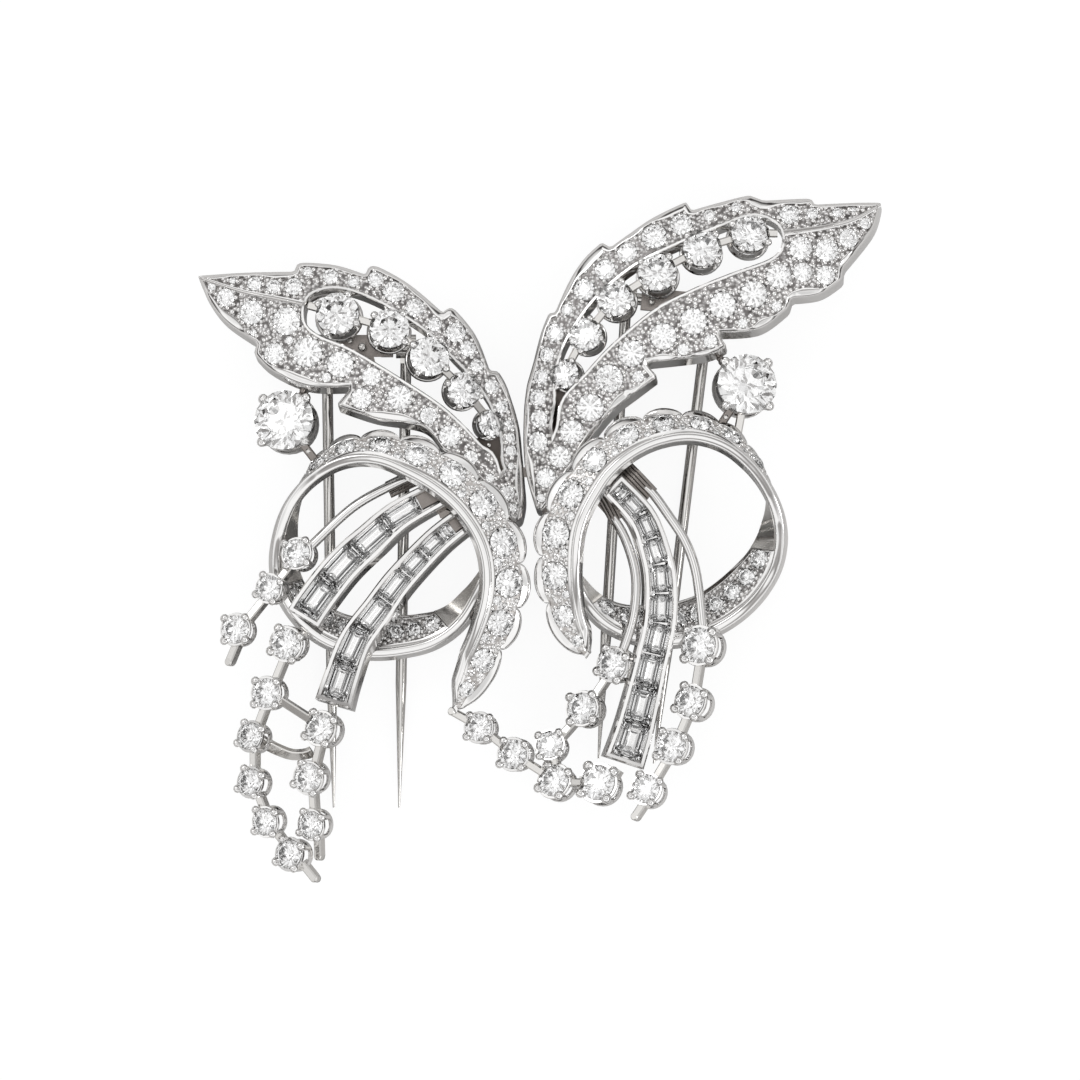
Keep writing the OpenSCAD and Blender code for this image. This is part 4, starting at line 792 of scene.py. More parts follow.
def set_copies(name, shape, finish, places):
    """The shape on every place (point, facing, size in mm, spin), as one plain mesh."""
    points = bpy.data.meshes.new(name)
    points.from_pydata([Vector(p[0]) * MM for p in places], [], [])
    for label, kind, values, key in (
            ("facing", "FLOAT_VECTOR", [c for p in places for c in unit(p[1])], "vector"),
            ("size", "FLOAT", [p[2] for p in places], "value"),
            ("spin", "FLOAT", [p[3] for p in places], "value")):
        points.attributes.new(label, kind, "POINT").data.foreach_set(key, values)
    holder = add_object(name, points)
    modifier = holder.modifiers.new("set on places", "NODES")
    modifier.node_group = SET_ON_PLACES
    wanted = {"Shape": shape, "Finish": finish, "Size Factor": MM}
    for socket in SET_ON_PLACES.interface.items_tree:
        if socket.in_out == "INPUT" and socket.name in wanted:
            modifier[socket.identifier] = wanted[socket.name]
    bpy.context.view_layer.update()
    result = bpy.data.meshes.new_from_object(holder.evaluated_get(bpy.context.evaluated_depsgraph_get()))
    bpy.data.objects.remove(holder)
    result.materials.clear()
    result.materials.append(finish)
    return result


# Shapes that repeat, for a stone of radius 1

def unit_mesh(name, shells, finish, flat_facets=False):
    """A mesh in units of the stone's radius, for the setting tree."""
    shells = [(np.asarray(points, float) / MM, faces) for points, faces in shells]
    return mesh_of(name, shells, finish, flat_facets=flat_facets)


def brilliant():
    """Round brilliant cut: table, stars, kites and halves over a girdle, mains and halves below."""
    table_r, table_z, girdle, star_r, low_r, depth = 0.55, 0.32, 0.02, 0.78, 0.24, 0.86
    half = math.cos(math.radians(22.5))
    star_z = table_z - (table_z - girdle) * (star_r * half - table_r) / (1 - table_r)
    low_z = -depth + (depth - girdle) * low_r * half

    def ring(r, z, count, offset):
        return [(r * math.cos(a), r * math.sin(a), z) for a in turns(count, offset)]

    points = (ring(table_r, table_z, 8, 0) + ring(star_r, star_z, 8, 0.5) + ring(1, girdle, 16, 0)
              + ring(1, -girdle, 16, 0) + ring(low_r, low_z, 8, 0.5) + [(0, 0, -depth)])
    faces = [tuple(range(8))]
    for i in range(8):
        k = (i + 1) % 8
        top, low = 16 + 2 * i, 32 + 2 * i
        top_mid, low_mid = top + 1, low + 1
        top_next, low_next = 16 + (2 * i + 2) % 16, 32 + (2 * i + 2) % 16
        faces += [(i, k, 8 + i), (i, 8 + i, top, 8 + (i - 1) % 8)]
        faces += [(8 + i, top, top_mid), (8 + i, top_mid, top_next)]
        faces += [(top, top_mid, low_mid, low), (top_mid, top_next, low_next, low_mid)]
        faces += [(48 + i, low, low_mid), (48 + i, low_mid, low_next), (56, 48 + i, low, 48 + (i - 1) % 8)]
    return unit_mesh("brilliant", [(points, faces)], DIAMOND, True)


def grain():
    """A raised grain: a round bead with a short skirt below the bed."""
    profile = [(0.9, -0.8), (1.0, 0.1), (0.86, 0.55), (0.5, 0.88), (0.0, 1.0)]
    return unit_mesh("grain", [lathe(profile, 8, False)], POLISHED)


def claw_head(reach, bead, rails, rail):
    """Head for a round stone: rails (inner radius, top, height), and four claws with beads on the girdle."""
    shells = []
    for inner, top, tall in rails:
        outer, middle, low = inner + rail, top - tall / 2, top - tall
        shells.append(lathe([(inner, top), (outer, top), (outer + 0.03, middle), (outer, low),
                             (inner - 0.03, low), (inner - 0.05, middle)], 28))
    inner, top, _ = rails[-1]
    foot, low = inner + 0.5 * rail, top - 0.14
    claw = [(foot, low), (0.5 * foot + 0.45 * reach, 0.6 * low), (reach - 0.02, -0.2), (reach, 0.0)]
    bends = [(k, math.pi * k / 8) for k in (1, 2, 3, 4)]
    claw += [(reach - 0.1 * bead * k, 0.75 * bead * math.sin(a)) for k, a in bends]
    radii = [0.5 * bead, 0.6 * bead, 0.7 * bead, bead] + [bead * max(0.06, math.cos(a)) for _, a in bends]
    for quarter in range(4):
        a = math.pi * (0.25 + quarter / 2)
        out = np.array([math.cos(a), math.sin(a), 0])
        shells.append(tube([out * r + [0, 0, z] for r, z in claw], radii))
    return unit_mesh("claw head", shells, POLISHED)


def baguette(length, width):
    """Step-cut baguette, length along X: steps down from a table, and steps below the girdle."""
    rings = []
    for step, z in BAGUETTE_STEPS:
        x, y = length / 2 - step * width, width / 2 - step * width
        rings.append([(-x, -y, z * width), (x, -y, z * width), (x, y, z * width), (-x, y, z * width)])
    return skin(rings, capped=True)


BRILLIANT = add_object("brilliant", brilliant())
GRAIN = add_object("grain", grain())
SPRAY_HEAD = add_object("spray head", claw_head(1.08, 0.32, [(0.98, -0.1, 0.2), (0.92, -1.04, 0.36)], 0.16))
ROW_HEAD = add_object("row head", claw_head(1.0, 0.21, [(0.8, -0.24, 0.2), (0.9, -0.74, 0.34)], 0.2))
SOLITAIRE_HEAD = add_object(
    "solitaire head", claw_head(1.02, 0.17, [(0.82, -0.3, 0.2), (0.84, -0.72, 0.26)], 0.12))


# Plates that carry pave stones

def tray(edge, gaps, fill):
    """Triangles of the flat that lies inside the edge and outside the gaps."""
    points, links = [], []
    for loop in [edge] + gaps:
        first = len(points)
        points.extend(loop)
        links.extend((first + i, first + (i + 1) % len(loop)) for i in range(len(loop)))
    points.extend(fill)
    found = delaunay_2d_cdt([Vector(p) for p in points], links, [], 0, 1e-5)
    flat, faces = np.array([tuple(v) for v in found[0]]), np.array([tuple(face) for face in found[2]])
    middle = flat[faces].mean(1)
    keep = inside(middle, edge)
    for gap in gaps:
        keep &= ~inside(middle, gap)
    return flat, [tuple(face) for face in faces[keep].tolist()]


def fill_points(edge, gaps, pitch):
    """Points on an even grid inside the edge and clear of every outline."""
    low, high = edge.min(0), edge.max(0)
    xs, ys = np.arange(low[0], high[0], pitch), np.arange(low[1], high[1], pitch)
    grid = np.array([(x, y) for x in xs for y in ys])
    keep = inside(grid, edge) & (edge_distance(grid, edge) > 0.3 * pitch)
    for gap in gaps:
        keep &= ~inside(grid, gap) & (edge_distance(grid, gap) > 0.3 * pitch)
    return grid[keep]


def stone_ring(stone, radius, depth):
    """Points round a stone's axis at a depth below its girdle."""
    return circle(stone["centre"] - stone["facing"] * depth, *axes(stone["facing"]), radius, SEAT_SIDES)


def plate(rims, stones, lift, drop, gaps=(), pitch=0.9):
    """Shells of a closed plate with a bed drilled for its stones and a back opened below each of them.

    Its rims, and those of each gap, are outlines with their heights, from the back to the bed. The bed is the
    last shell but one."""
    base_h, bed_h = rims[0][1], rims[-1][1]
    shells = [skin([[lift(p, high) for p in loop] for loop, high in sides]) for sides in (rims, *gaps)]
    bed_gaps = [sides[-1][0] for sides in gaps]
    back_gaps = [sides[0][0] for sides in gaps]
    for stone in stones:
        # From the bed: a cup past the girdle, a cone along the foot, and a hole that widens to the back
        r = stone["radius"]
        seat = [drop(p, stone["flat"]) for p in stone_ring(stone, r + 0.04, 0.1)]
        azure = [drop(p, stone["flat"]) for p in stone_ring(stone, 0.6 * r, 0.9 * r)]
        shells.append(skin([
            [lift(p, bed_h) for p in seat], stone_ring(stone, r + 0.03, 0.16 * r),
            stone_ring(stone, 0.5 * r, 0.8 * r), [lift(p, base_h) for p in azure]]))
        bed_gaps.append(closed_loop(seat))
        back_gaps.append(closed_loop(azure))
    for outline, holes, high in ((rims[-1][0], bed_gaps, bed_h), (rims[0][0], back_gaps, base_h)):
        points, faces = tray(outline, holes, fill_points(outline, holes, pitch))
        shells.append(([lift(p, high) for p in points], faces))
    return shells


def grain_places(stones, edge, gaps, lift, bed_h, facing_at, seed):
    """Grains round each stone and between the stones, on free parts of the bed."""
    centres = np.array([s["flat"] for s in stones])
    radii = np.array([s["radius"] for s in stones])
    kept = []

    def free(p, spacing, clearance):
        at = np.array([p])
        if not inside(at, edge)[0] or any(inside(at, gap)[0] for gap in gaps):
            return False
        if any(edge_distance(at, loop)[0] < GRAIN_CLEAR for loop in (edge, *gaps)):
            return False
        if (np.linalg.norm(centres - p, axis=1) < radii + clearance).any():
            return False
        return all(math.dist(p, q) > spacing for q in kept)

    for i, stone in enumerate(stones):
        r = stone["radius"] + 0.12
        count = max(4, round(2 * math.pi * r / GRAIN_PITCH))
        for j in range(count):
            a = GOLDEN_TURN * i + 2 * math.pi * j / count
            p = centres[i] + r * np.array([math.cos(a), math.sin(a)])
            if free(p, GRAIN_GAP, 0.08):
                kept.append(p)
    draw = np.random.default_rng(seed)
    for p in draw.uniform(edge.min(0), edge.max(0), (GRAIN_TRIES, 2)):
        if free(p, GRAIN_GAP + 0.02, 0.16):
            kept.append(p)
    sizes = draw.uniform(0.85, 1.1, len(kept))
    return [(lift(p, bed_h), facing_at(p), GRAIN_R * s, 0.0) for p, s in zip(kept, sizes)]


def stone_places(stones):
    """The stones as places for the setting tree, each turned on from the one before."""
    return [(s["centre"], s["facing"], s["radius"], GOLDEN_TURN * i) for i, s in enumerate(stones)]


# Leaves

def leaf_height(p, spine, low_side):
    """Height of a leaf's surface at a point."""
    a, b = spine[:-1], spine[1:]
    run, off = b[:, :2] - a[:, :2], p[:2] - a[:, :2]
    share = np.clip((off * run).sum(1) / (run * run).sum(1), 0, 1)
    gap = np.linalg.norm(off - run * share[:, None], axis=1)
    i = gap.argmin()
    side = np.sign(run[i, 0] * off[i, 1] - run[i, 1] * off[i, 0]) * low_side
    return a[i, 2] * (1 - share[i]) + b[i, 2] * share[i] + (LEAF_TILT * side - LEAF_ROOF) * gap[i]


def fitted_stones(wanted, edge, opening):
    """Radii that keep the stones off the rims and off each other."""
    at = np.array([w[:2] for w in wanted])
    size = np.array([w[2] for w in wanted])
    to_edge = edge_distance(at, edge) - EDGE_BEVEL * EDGE_LEAST - EDGE_GAP
    to_opening = edge_distance(at, opening) - OPENING_RIM - OPENING_GAP
    fitted = []
    for i, (place, r) in enumerate(zip(at, size)):
        gaps = (np.linalg.norm(at - place, axis=1) - STONE_GAP) * r / (size + r)
        gaps[i] = r
        fitted.append(min(r, to_edge[i], to_opening[i], gaps.min()))
    return fitted


def bevel_room(edge, tip, stones):
    """Share of the full bevel at each point of a leaf's edge: what the stones leave, and less at the tip."""
    centres = np.array([s["flat"] for s in stones])
    radii = np.array([s["radius"] for s in stones])
    free = (np.linalg.norm(edge[:, None] - centres[None], axis=2) - radii).min(1) - BEVEL_CLEAR
    near_tip = EDGE_LEAST + TIP_GROWTH * np.linalg.norm(edge - np.array(tip), axis=1)
    share = np.clip(np.minimum(free / EDGE_BEVEL, near_tip), EDGE_LEAST, 1)
    low = np.min([np.roll(share, k) for k in (-2, -1, 0, 1, 2)], axis=0)
    return np.mean([np.roll(low, k) for k in (-2, -1, 0, 1, 2)], axis=0)


def leaf_piece(side, upper, lower, opening_rows, spine, low_side, midrib, wanted, row, leans, knobs,
               slit_back):
    """A leaf with its stones, its grains and its midrib, and the row of round stones in its opening."""
    spine = np.array(spine)
    edge = closed_loop([p for lobe in upper for p in curve(lobe, LEAF_PITCH)]
                       + [p for lobe in lower[::-1] for p in curve(lobe, LEAF_PITCH)[::-1]])
    edge = 0.7 * edge + 0.15 * (np.roll(edge, 1, 0) + np.roll(edge, -1, 0))
    opening = closed_loop(curve(opening_rows, OPENING_PITCH))

    def height(p):
        return leaf_height(np.asarray(p), spine, low_side)

    def lift(p, high):
        lean = LEAF_DEPTH * min(1.0, max(0.0, (-high - SPLAY_FROM) / (LEAF_DEPTH - SPLAY_FROM)))
        return np.array([p[0] + LEAF_SPLAY[0] * lean, p[1] + LEAF_SPLAY[1] * lean, height(p) + high])

    def drop(p, near):
        return np.array(p[:2])

    def facing_at(p):
        step = 0.4
        east, north = np.array([step, 0.0]), np.array([0.0, step])
        return unit([height(p - east) - height(p + east), height(p - north) - height(p + north), 2 * step])

    stones = []
    for (x, y, _), r in zip(wanted, fitted_stones(wanted, edge, opening)):
        if r > STONE_LEAST:
            at = np.array([x, y])
            stones.append({
                "flat": at, "radius": r, "centre": lift(at, -GIRDLE_DROP), "facing": facing_at(at)})
    room = bevel_room(edge, spine[0, :2], stones)
    rims = [(inset(edge, inward, room), high) for inward, high in LEAF_EDGE]
    gap_rims = [(inset(opening, -outward), high) for outward, high in OPENING_EDGE]
    shells = plate(rims, stones, lift, drop, [gap_rims])
    bed = len(shells) - 2
    rib = [lift(p[:2], 0.0) for p in curve(midrib, RIB_PITCH)]
    shells.append(strip(rib, RIB_PROFILE, 0.55 + 0.45 * np.linspace(0, 1, len(rib))))
    grains = grain_places(stones, rims[-1][0], [gap_rims[-1][0]], lift, -BED_DROP, facing_at, LEAF_SEED)
    show(side + "_leaf_pave", [
        mesh_of(side + " leaf plate", shells, POLISHED, bed=bed, bed_finish=BRIGHT_CUT_PAINTED_LIGHT),
        set_copies(side + " leaf grains", GRAIN, POLISHED, grains),
        set_copies(side + " leaf stones", BRILLIANT, DIAMOND, stone_places(stones)),
    ], [side + "_leaf", side + "_leaf_stones"])

    lean = np.linspace(leans[0], leans[1], len(row))
    heads = [((x, y, height((x, y))), (*lean[i], 1), r, 0.3 + 0.25 * math.sin(5 * i))
             for i, (x, y, r) in enumerate(row)]
    bars = [tube([[x, y, KNOB_Z[0]], [x, y, KNOB_Z[1]], [x, y, KNOB_Z[1] + 0.7 * r], [x, y, KNOB_Z[1] + r]],
                 [r, r, 0.72 * r, 0.1 * r], 12) for x, y, r in knobs]
    ends = [(row[i], row[i + 1][:2], ROW_BAR_START * row[i + 1][2]) for i in range(len(row) - 1)]
    ends.append((row[0], midrib[-1], 0.4))
    for start, finish, stop in ends:
        first, last = np.array(start[:2]), np.array(finish)
        d = unit(last - first)
        bars.append(flat_bar([*(first + d * ROW_BAR_START * start[2]), height(first) - ROW_BAR_DROP],
                             [*(last - d * stop), height(last) - ROW_BAR_DROP], BAR_WIDTH, ROW_BAR_HEIGHT))
    # The slit back is a plate painted dark as the shade in the slit
    show(side + "_stone_row", [
        set_copies(side + " row heads", ROW_HEAD, POLISHED, heads), mesh_of(side + " row bars", bars, DRAWN),
        mesh_of(side + " slit back", [slab(slit_back, SLIT_BACK_Z)], SLIT_PAINTED_SHADE),
        set_copies(side + " row stones", BRILLIANT, DIAMOND, heads),
    ], [side + "_row_setting", side + "_row_stones"])


# Scrolls

class Scroll:
    """The band of a scroll: places on it by sweep angle, distance along the band and height above it."""

    def __init__(self, table, centre, hand, notches):
        self.table = np.array(table, float)
        self.centre = np.array([*centre, 0.0])
        self.hand = hand
        self.notches = notches

    def row(self, a):
        """The table's row at a sweep angle."""
        return smooth(self.table, np.interp(a, self.table[:, 0], np.arange(len(self.table))))

    def frame(self, a):
        """Rim point, direction along the band, direction across it, and the band's width."""
        _, r, z, out, up = self.row(a)
        ray = np.array([self.hand * math.cos(math.radians(a)), math.sin(math.radians(a)), 0.0])
        rim = self.centre + ray * r + [0, 0, z]
        return rim, unit(ray * out + [0, 0, up]), unit(-ray * up + [0, 0, out]), math.hypot(out, up)

    def bulge(self, a):
        """How far the scalloped edge stands out at an angle."""
        for low, high in zip(self.notches, self.notches[1:]):
            if low <= a <= high:
                return SCALLOP_BULGE * math.sqrt(max(0.0, math.sin(math.pi * (a - low) / (high - low))))
        return SCALLOP_NOTCH

    def width(self, a):
        """Width of the band with its scallops."""
        return self.frame(a)[3] - SCALLOP_NOTCH + self.bulge(a)

    def trim(self, a):
        """Share of its full size that the trim has at an angle: less where the band is narrow."""
        return min(1, self.width(a) / BAND_FULL)

    def span(self, a):
        """Where the band starts and ends, along it from the rim."""
        return BAND_START * self.trim(a), max(self.width(a), BAND_LEAST)

    def at(self, a, u, v):
        """Point at an angle, a distance along the band and a height above it."""
        rim, along, across, _ = self.frame(a)
        return rim + along * u + across * v

    def find(self, p, near_a):
        """Sweep angle and distance along the band of a point."""
        off = np.asarray(p) - self.centre
        a = math.degrees(math.atan2(off[1], self.hand * off[0]))
        a = near_a + (a - near_a + 180) % 360 - 180
        rim, along, _, _ = self.frame(a)
        return a, float(np.dot(p - rim, along))


def scroll_plate(scroll, angles, face, stones, margin, bed_finish, label):
    """A closed stretch of the band between two angles, set with stones on one face."""
    def lift(p, high):
        return scroll.at(p[0] / SWEEP_MM, p[1], face * high)

    def drop(p, near):
        a, u = scroll.find(p, near[0] / SWEEP_MM)
        return np.array([a * SWEEP_MM, u])

    def facing_at(p):
        return scroll.frame(p[0] / SWEEP_MM)[2] * face

    near, far = angles[0] * SWEEP_MM + END_MARGIN, angles[-1] * SWEEP_MM - END_MARGIN
    root, outer, bed_root, bed_outer = [], [], [], []
    for a in angles:
        s = a * SWEEP_MM
        u, v = scroll.span(a)
        root.append((s, u))
        outer.append((s, v))
        share = min(1.0, (v - u) / MARGIN_FULL)
        s = min(max(s, near), far)
        middle = (u + v) / 2
        bed_root.append((s, min(u + ROOT_MARGIN * share, middle - 0.03)))
        bed_outer.append((s, max(v - (margin + BULGE_SHARE * scroll.bulge(a)) * share, middle + 0.03)))
    edge, bed = np.array(root + outer[::-1]), np.array(bed_root + bed_outer[::-1])
    rims = [(edge + (bed - edge) * inward, high) for inward, high in BAND_EDGE]
    shells = plate(rims, stones, lift, drop, pitch=1.0)
    grains = grain_places(stones, rims[-1][0], [], lift, BAND_BED, facing_at, BAND_SEED)
    return [mesh_of(label, shells, POLISHED, bed=len(shells) - 2, bed_finish=bed_finish),
            set_copies(label + " grains", GRAIN, POLISHED, grains),
            set_copies(label + " stones", BRILLIANT, DIAMOND, stone_places(stones))]


def band_stone(scroll, a, u, r, face):
    """A stone on the band, its girdle a little above the bed."""
    return {"flat": np.array([a * SWEEP_MM, u]), "radius": r, "centre": scroll.at(a, u, face * BAND_GIRDLE),
            "facing": scroll.frame(a)[2] * face}


def plain_band(scroll, angles):
    """A polished stretch of the band without stones."""
    rings = []
    for a in angles:
        low, high = scroll.span(a)
        section = [(low, -0.33), (low + 0.12, -0.45), (high - 0.12, -0.45), (high, -0.33), (high, 0.45),
                   (low, 0.45)]
        rings.append([scroll.at(a, u, v) for u, v in section])
    return skin(rings, capped=True)


def crescent_stones(scroll):
    """Stones of the crescent: two in its first scallop, one in each other, small ones at the wide notches."""
    first, second = scroll.notches[:2]
    spans = [(first, first + 0.55 * (second - first)), (first + 0.42 * (second - first), second)]
    spans += zip(scroll.notches[1:], scroll.notches[2:])
    stones = []
    for i, (low, high) in enumerate(spans):
        a = (low + high) / 2
        width = scroll.frame(a)[3]
        arc = math.radians(high - low) * scroll.row(a)[1] * 1.15
        r = min(0.43 * (width - 0.5), 0.42 * arc)
        if r > 0.3:
            stones.append(band_stone(scroll, a, 0.58 * width, r, 1))
        here = scroll.frame(low)[3]
        if i > 1 and here > 2.0:
            stones.append(band_stone(scroll, low, 0.3 * here, 0.12 * here, 1))
    return stones


def ring_stones(scroll, first, last):
    """Stones on the inner face of the ring, evenly between two angles."""
    stones = []
    for i in range(RING_COUNT):
        a = first + (last - first) * i / (RING_COUNT - 1)
        _, sweep, _, out, _ = scroll.row(a)
        width = scroll.frame(a)[3]
        arc = math.radians((last - first) / (RING_COUNT - 1)) * (sweep + 0.52 * out)
        stones.append(band_stone(scroll, a, 0.52 * width, min(0.34 * width, 0.46 * arc), -1))
    return stones


def rim_bead(scroll):
    """The bead along the whole rim. Its ledge changes sides where the band turns over."""
    rings = []
    for a in np.arange(scroll.table[0, 0], scroll.table[-1, 0] + 0.1, BEAD_STEP):
        rim = scroll.frame(a)[0]
        ray = unit((rim - scroll.centre) * [1, 1, 0])
        turned = np.clip((a - TURN_FROM) / TURN_SPAN, 0, 1)
        ring = []
        for u, v in BEAD_PROFILE:
            ledge = BEAD_LEDGE * (turned * (u > 0) - (1 - turned) * (u < 0)) * (v < -0.4)
            ring.append(rim + scroll.trim(a) * (ray * (u + ledge) + [0, 0, v]))
        rings.append(ring)
    return skin(rings, capped=True)


def scroll_piece(side, table, centre, hand, notches, ring_set):
    """A scroll: polished rim bead, scalloped crescent of stones, and the ring set on its inner face."""
    scroll = Scroll(table, centre, hand, notches)
    shares = [0.5 - 0.5 * math.cos(math.pi * k / SCALLOP_STEPS) for k in range(SCALLOP_STEPS)]
    front = [low + (high - low) * f for low, high in zip(notches, notches[1:]) for f in shares]
    front.append(notches[-1])
    start, stop = ring_set
    back = np.linspace(start, stop, RING_STEPS)
    plain = [plain_band(scroll, np.linspace(*ends, PLAIN_STEPS))
             for ends in ((notches[-1], start), (stop, table[-1][0]))]
    front_stones = crescent_stones(scroll)
    back_stones = ring_stones(scroll, start + RING_MARGIN, stop - RING_MARGIN)
    show(side + "_scroll_pave", [
        *scroll_plate(scroll, front, 1, front_stones, CRESCENT_MARGIN, LIGHT_CUT_PAINTED_LIGHT, side + " crescent"),
        mesh_of(side + " plain ring", plain, DRAWN),
        *scroll_plate(scroll, back, -1, back_stones, RING_BED_MARGIN, BRIGHT_CUT_PAINTED_LIGHT, side + " ring"),
        mesh_of(side + " rim bead", [rim_bead(scroll)], POLISHED),
    ], [side + "_scroll", side + "_scroll_stones"])


# Ribbons

def ribbon_piece(base, rows, cuts, splay, root, bare):
    """A channel with bevelled walls and mitred ends on its root plate, its baguettes, and a bare bar."""
    fine = curve(rows, 0.25)
    runs = running_length(fine[:, :3])
    length = runs[-1]

    def centre(s):
        return np.array([np.interp(s, runs, fine[:, k]) for k in range(4)])

    def heading(s):
        return unit(centre(min(s + 0.2, length))[:3] - centre(max(s - 0.2, 0))[:3])

    def lift(p, high):
        across = unit(np.cross([0, 0, 1], heading(p[0])))
        sunk = min(1.0, max(0.0, -high - 0.1) / 1.1)
        return centre(p[0])[:3] + across * p[1] + [splay[0] * sunk, splay[1] * sunk, high]

    marks = np.linspace(0, length, round(length / 0.7) + 1)
    loop = closed_loop([(s, -centre(s)[3] / 2) for s in marks] + [(s, centre(s)[3] / 2) for s in marks[::-1]])
    rims = [(inset(loop, inward), high) for inward, high in RIBBON_EDGE]
    stones = []
    start = BAGUETTE_START
    set_length = length - 2 * start - bare
    spare = set_length - sum(cuts) - STONE_GAP * len(cuts)
    if spare > 1:
        more = math.ceil(spare / BAGUETTE_MORE)
        cuts = cuts + [spare / more] * more
    stretch = (set_length - STONE_GAP * (len(cuts) - 1)) / sum(cuts)
    for cut in cuts:
        long = cut * stretch
        middle = start + long / 2
        here, run = centre(middle), heading(middle)
        across = unit(np.cross([0, 0, 1], run))
        points, faces = baguette(long - 0.04, here[3] - 2 * RIBBON_WALL - 0.06)
        turned = np.array(points) @ np.array([run, across, np.cross(run, across)])
        stones.append((turned + here[:3] - [0, 0, BAGUETTE_DROP], faces))
        start += long + STONE_GAP
    # The root plate and the bare bar are brushed metal painted dark as shade
    dark = [slab(root, ROOT_Z)]
    if bare:
        near, far = centre(start), centre(length - 0.5)
        sunk = [0, 0, BARE_DROP]
        dark.append(flat_bar(near[:3] - sunk, far[:3] - sunk, far[3] - 2 * RIBBON_WALL, BARE_HEIGHT))
    show(base + "_channel", [
        mesh_of(base + " channel", plate(rims, [], lift, None, pitch=1.2), POLISHED, 25),
        mesh_of(base + " stones", stones, DIAMOND, flat_facets=True), mesh_of(base + " root", dark, BRUSHED_PAINTED_SHADE),
    ], [base + "_ribbon", base + "_baguettes"])


# Sprays

def wall_point(stone, to, z, lean):
    """A point inside a head's lower rail, towards another place."""
    d = unit(np.array(to[:2]) - np.array(stone[:2]))
    q = np.array(stone[:2]) + d * 0.8 * stone[2] - np.array(lean) * BAR_DROP
    return np.array([q[0], q[1], z - BAR_DROP])


def stub(stone, tip, z, lean):
    """A round-ended bar that sticks out past a stone."""
    p = wall_point(stone, tip, z, lean)
    q = np.array([tip[0], tip[1], p[2] - 0.2])
    return [flat_bar(p, q, BAR_WIDTH, BAR_HEIGHT, lean), placed(lathe(STUB_END, 20, False), q, (*lean, 1))]


def wire_bundle(path):
    """Fine wires that run side by side along a path, every second one a little higher."""
    path = curve(path, 0.6)
    across = unit(np.cross([0, 0, 1], unit(path[-1] - path[0])))
    offsets = 2.05 * FINE_WIRE_R * (np.arange(BUNDLE_COUNT) - 0.5 * (BUNDLE_COUNT - 1))
    return [tube(path + across * off + [0, 0, 0.12 * (i % 2)], [FINE_WIRE_R] * len(path), 8)
            for i, off in enumerate(offsets)]


def gallery_bar(path):
    """A flat strip that sags along a path, its face turned outwards."""
    w, h = GALLERY_WIDTH / 2, GALLERY_THICK / 2
    path = curve(path, 0.5)
    return strip(path, [(-w, -h), (w, -h), (w, 0.6 * h), (0.85 * w, h), (-0.85 * w, h), (-w, 0.6 * h)],
                 [1] * len(path), GALLERY_UP)


def spray_piece(base, stones, pairs, z, lean, stubs, joints=(), wire=None, bundle=None, gallery=None):
    """A spray's heads with the flat bars between them, its stubs, wire, bundle and gallery bar."""
    name, replaced = base + "_heads", base + "_spray"
    heads = []
    for x, y, r in stones:
        own = (lean[0] + OWN_LEAN * math.sin(29 * x), lean[1] + OWN_LEAN * math.sin(23 * y), 1.0)
        heads.append(((x, y, z), own, r, math.radians(15 * math.sin(37 * x) - 8)))
    shells = []
    for a, b in pairs:
        p, q = (wall_point(stones[i], stones[j], z, lean) for i, j in ((a, b), (b, a)))
        shells.append(flat_bar(p, q, BAR_WIDTH, BAR_HEIGHT, lean))
    for index, tip in stubs:
        shells += stub(stones[index], tip, z, lean)
    for index, end in joints:
        p = wall_point(stones[index], end, z, lean)
        shells.append(flat_bar(p, [end[0], end[1], p[2]], BAR_WIDTH, BAR_HEIGHT, lean))
    if gallery:
        shells.append(gallery_bar(gallery))
    meshes = [set_copies(name, SPRAY_HEAD, POLISHED, heads), mesh_of(base + " bars", shells, DRAWN)]
    if wire:
        path = curve([*wire, wall_point(stones[0], wire[-1], z, lean)], 0.8)
        meshes.append(mesh_of(base + " wire", [tube(path, [WIRE_R] * len(path), 14)], POLISHED))
    if bundle:
        # The fine wires are brushed metal painted dark as shade
        meshes.append(mesh_of(base + " bundle", wire_bundle(bundle), BRUSHED_PAINTED_SHADE))
    show(name, meshes, [replaced])
    for i, place in enumerate(heads):
        node = f"{replaced}_stone_{i + 1}"
        show(node + "_cut", [set_copies(node, BRILLIANT, DIAMOND, [place])], [node])


# Solitaires

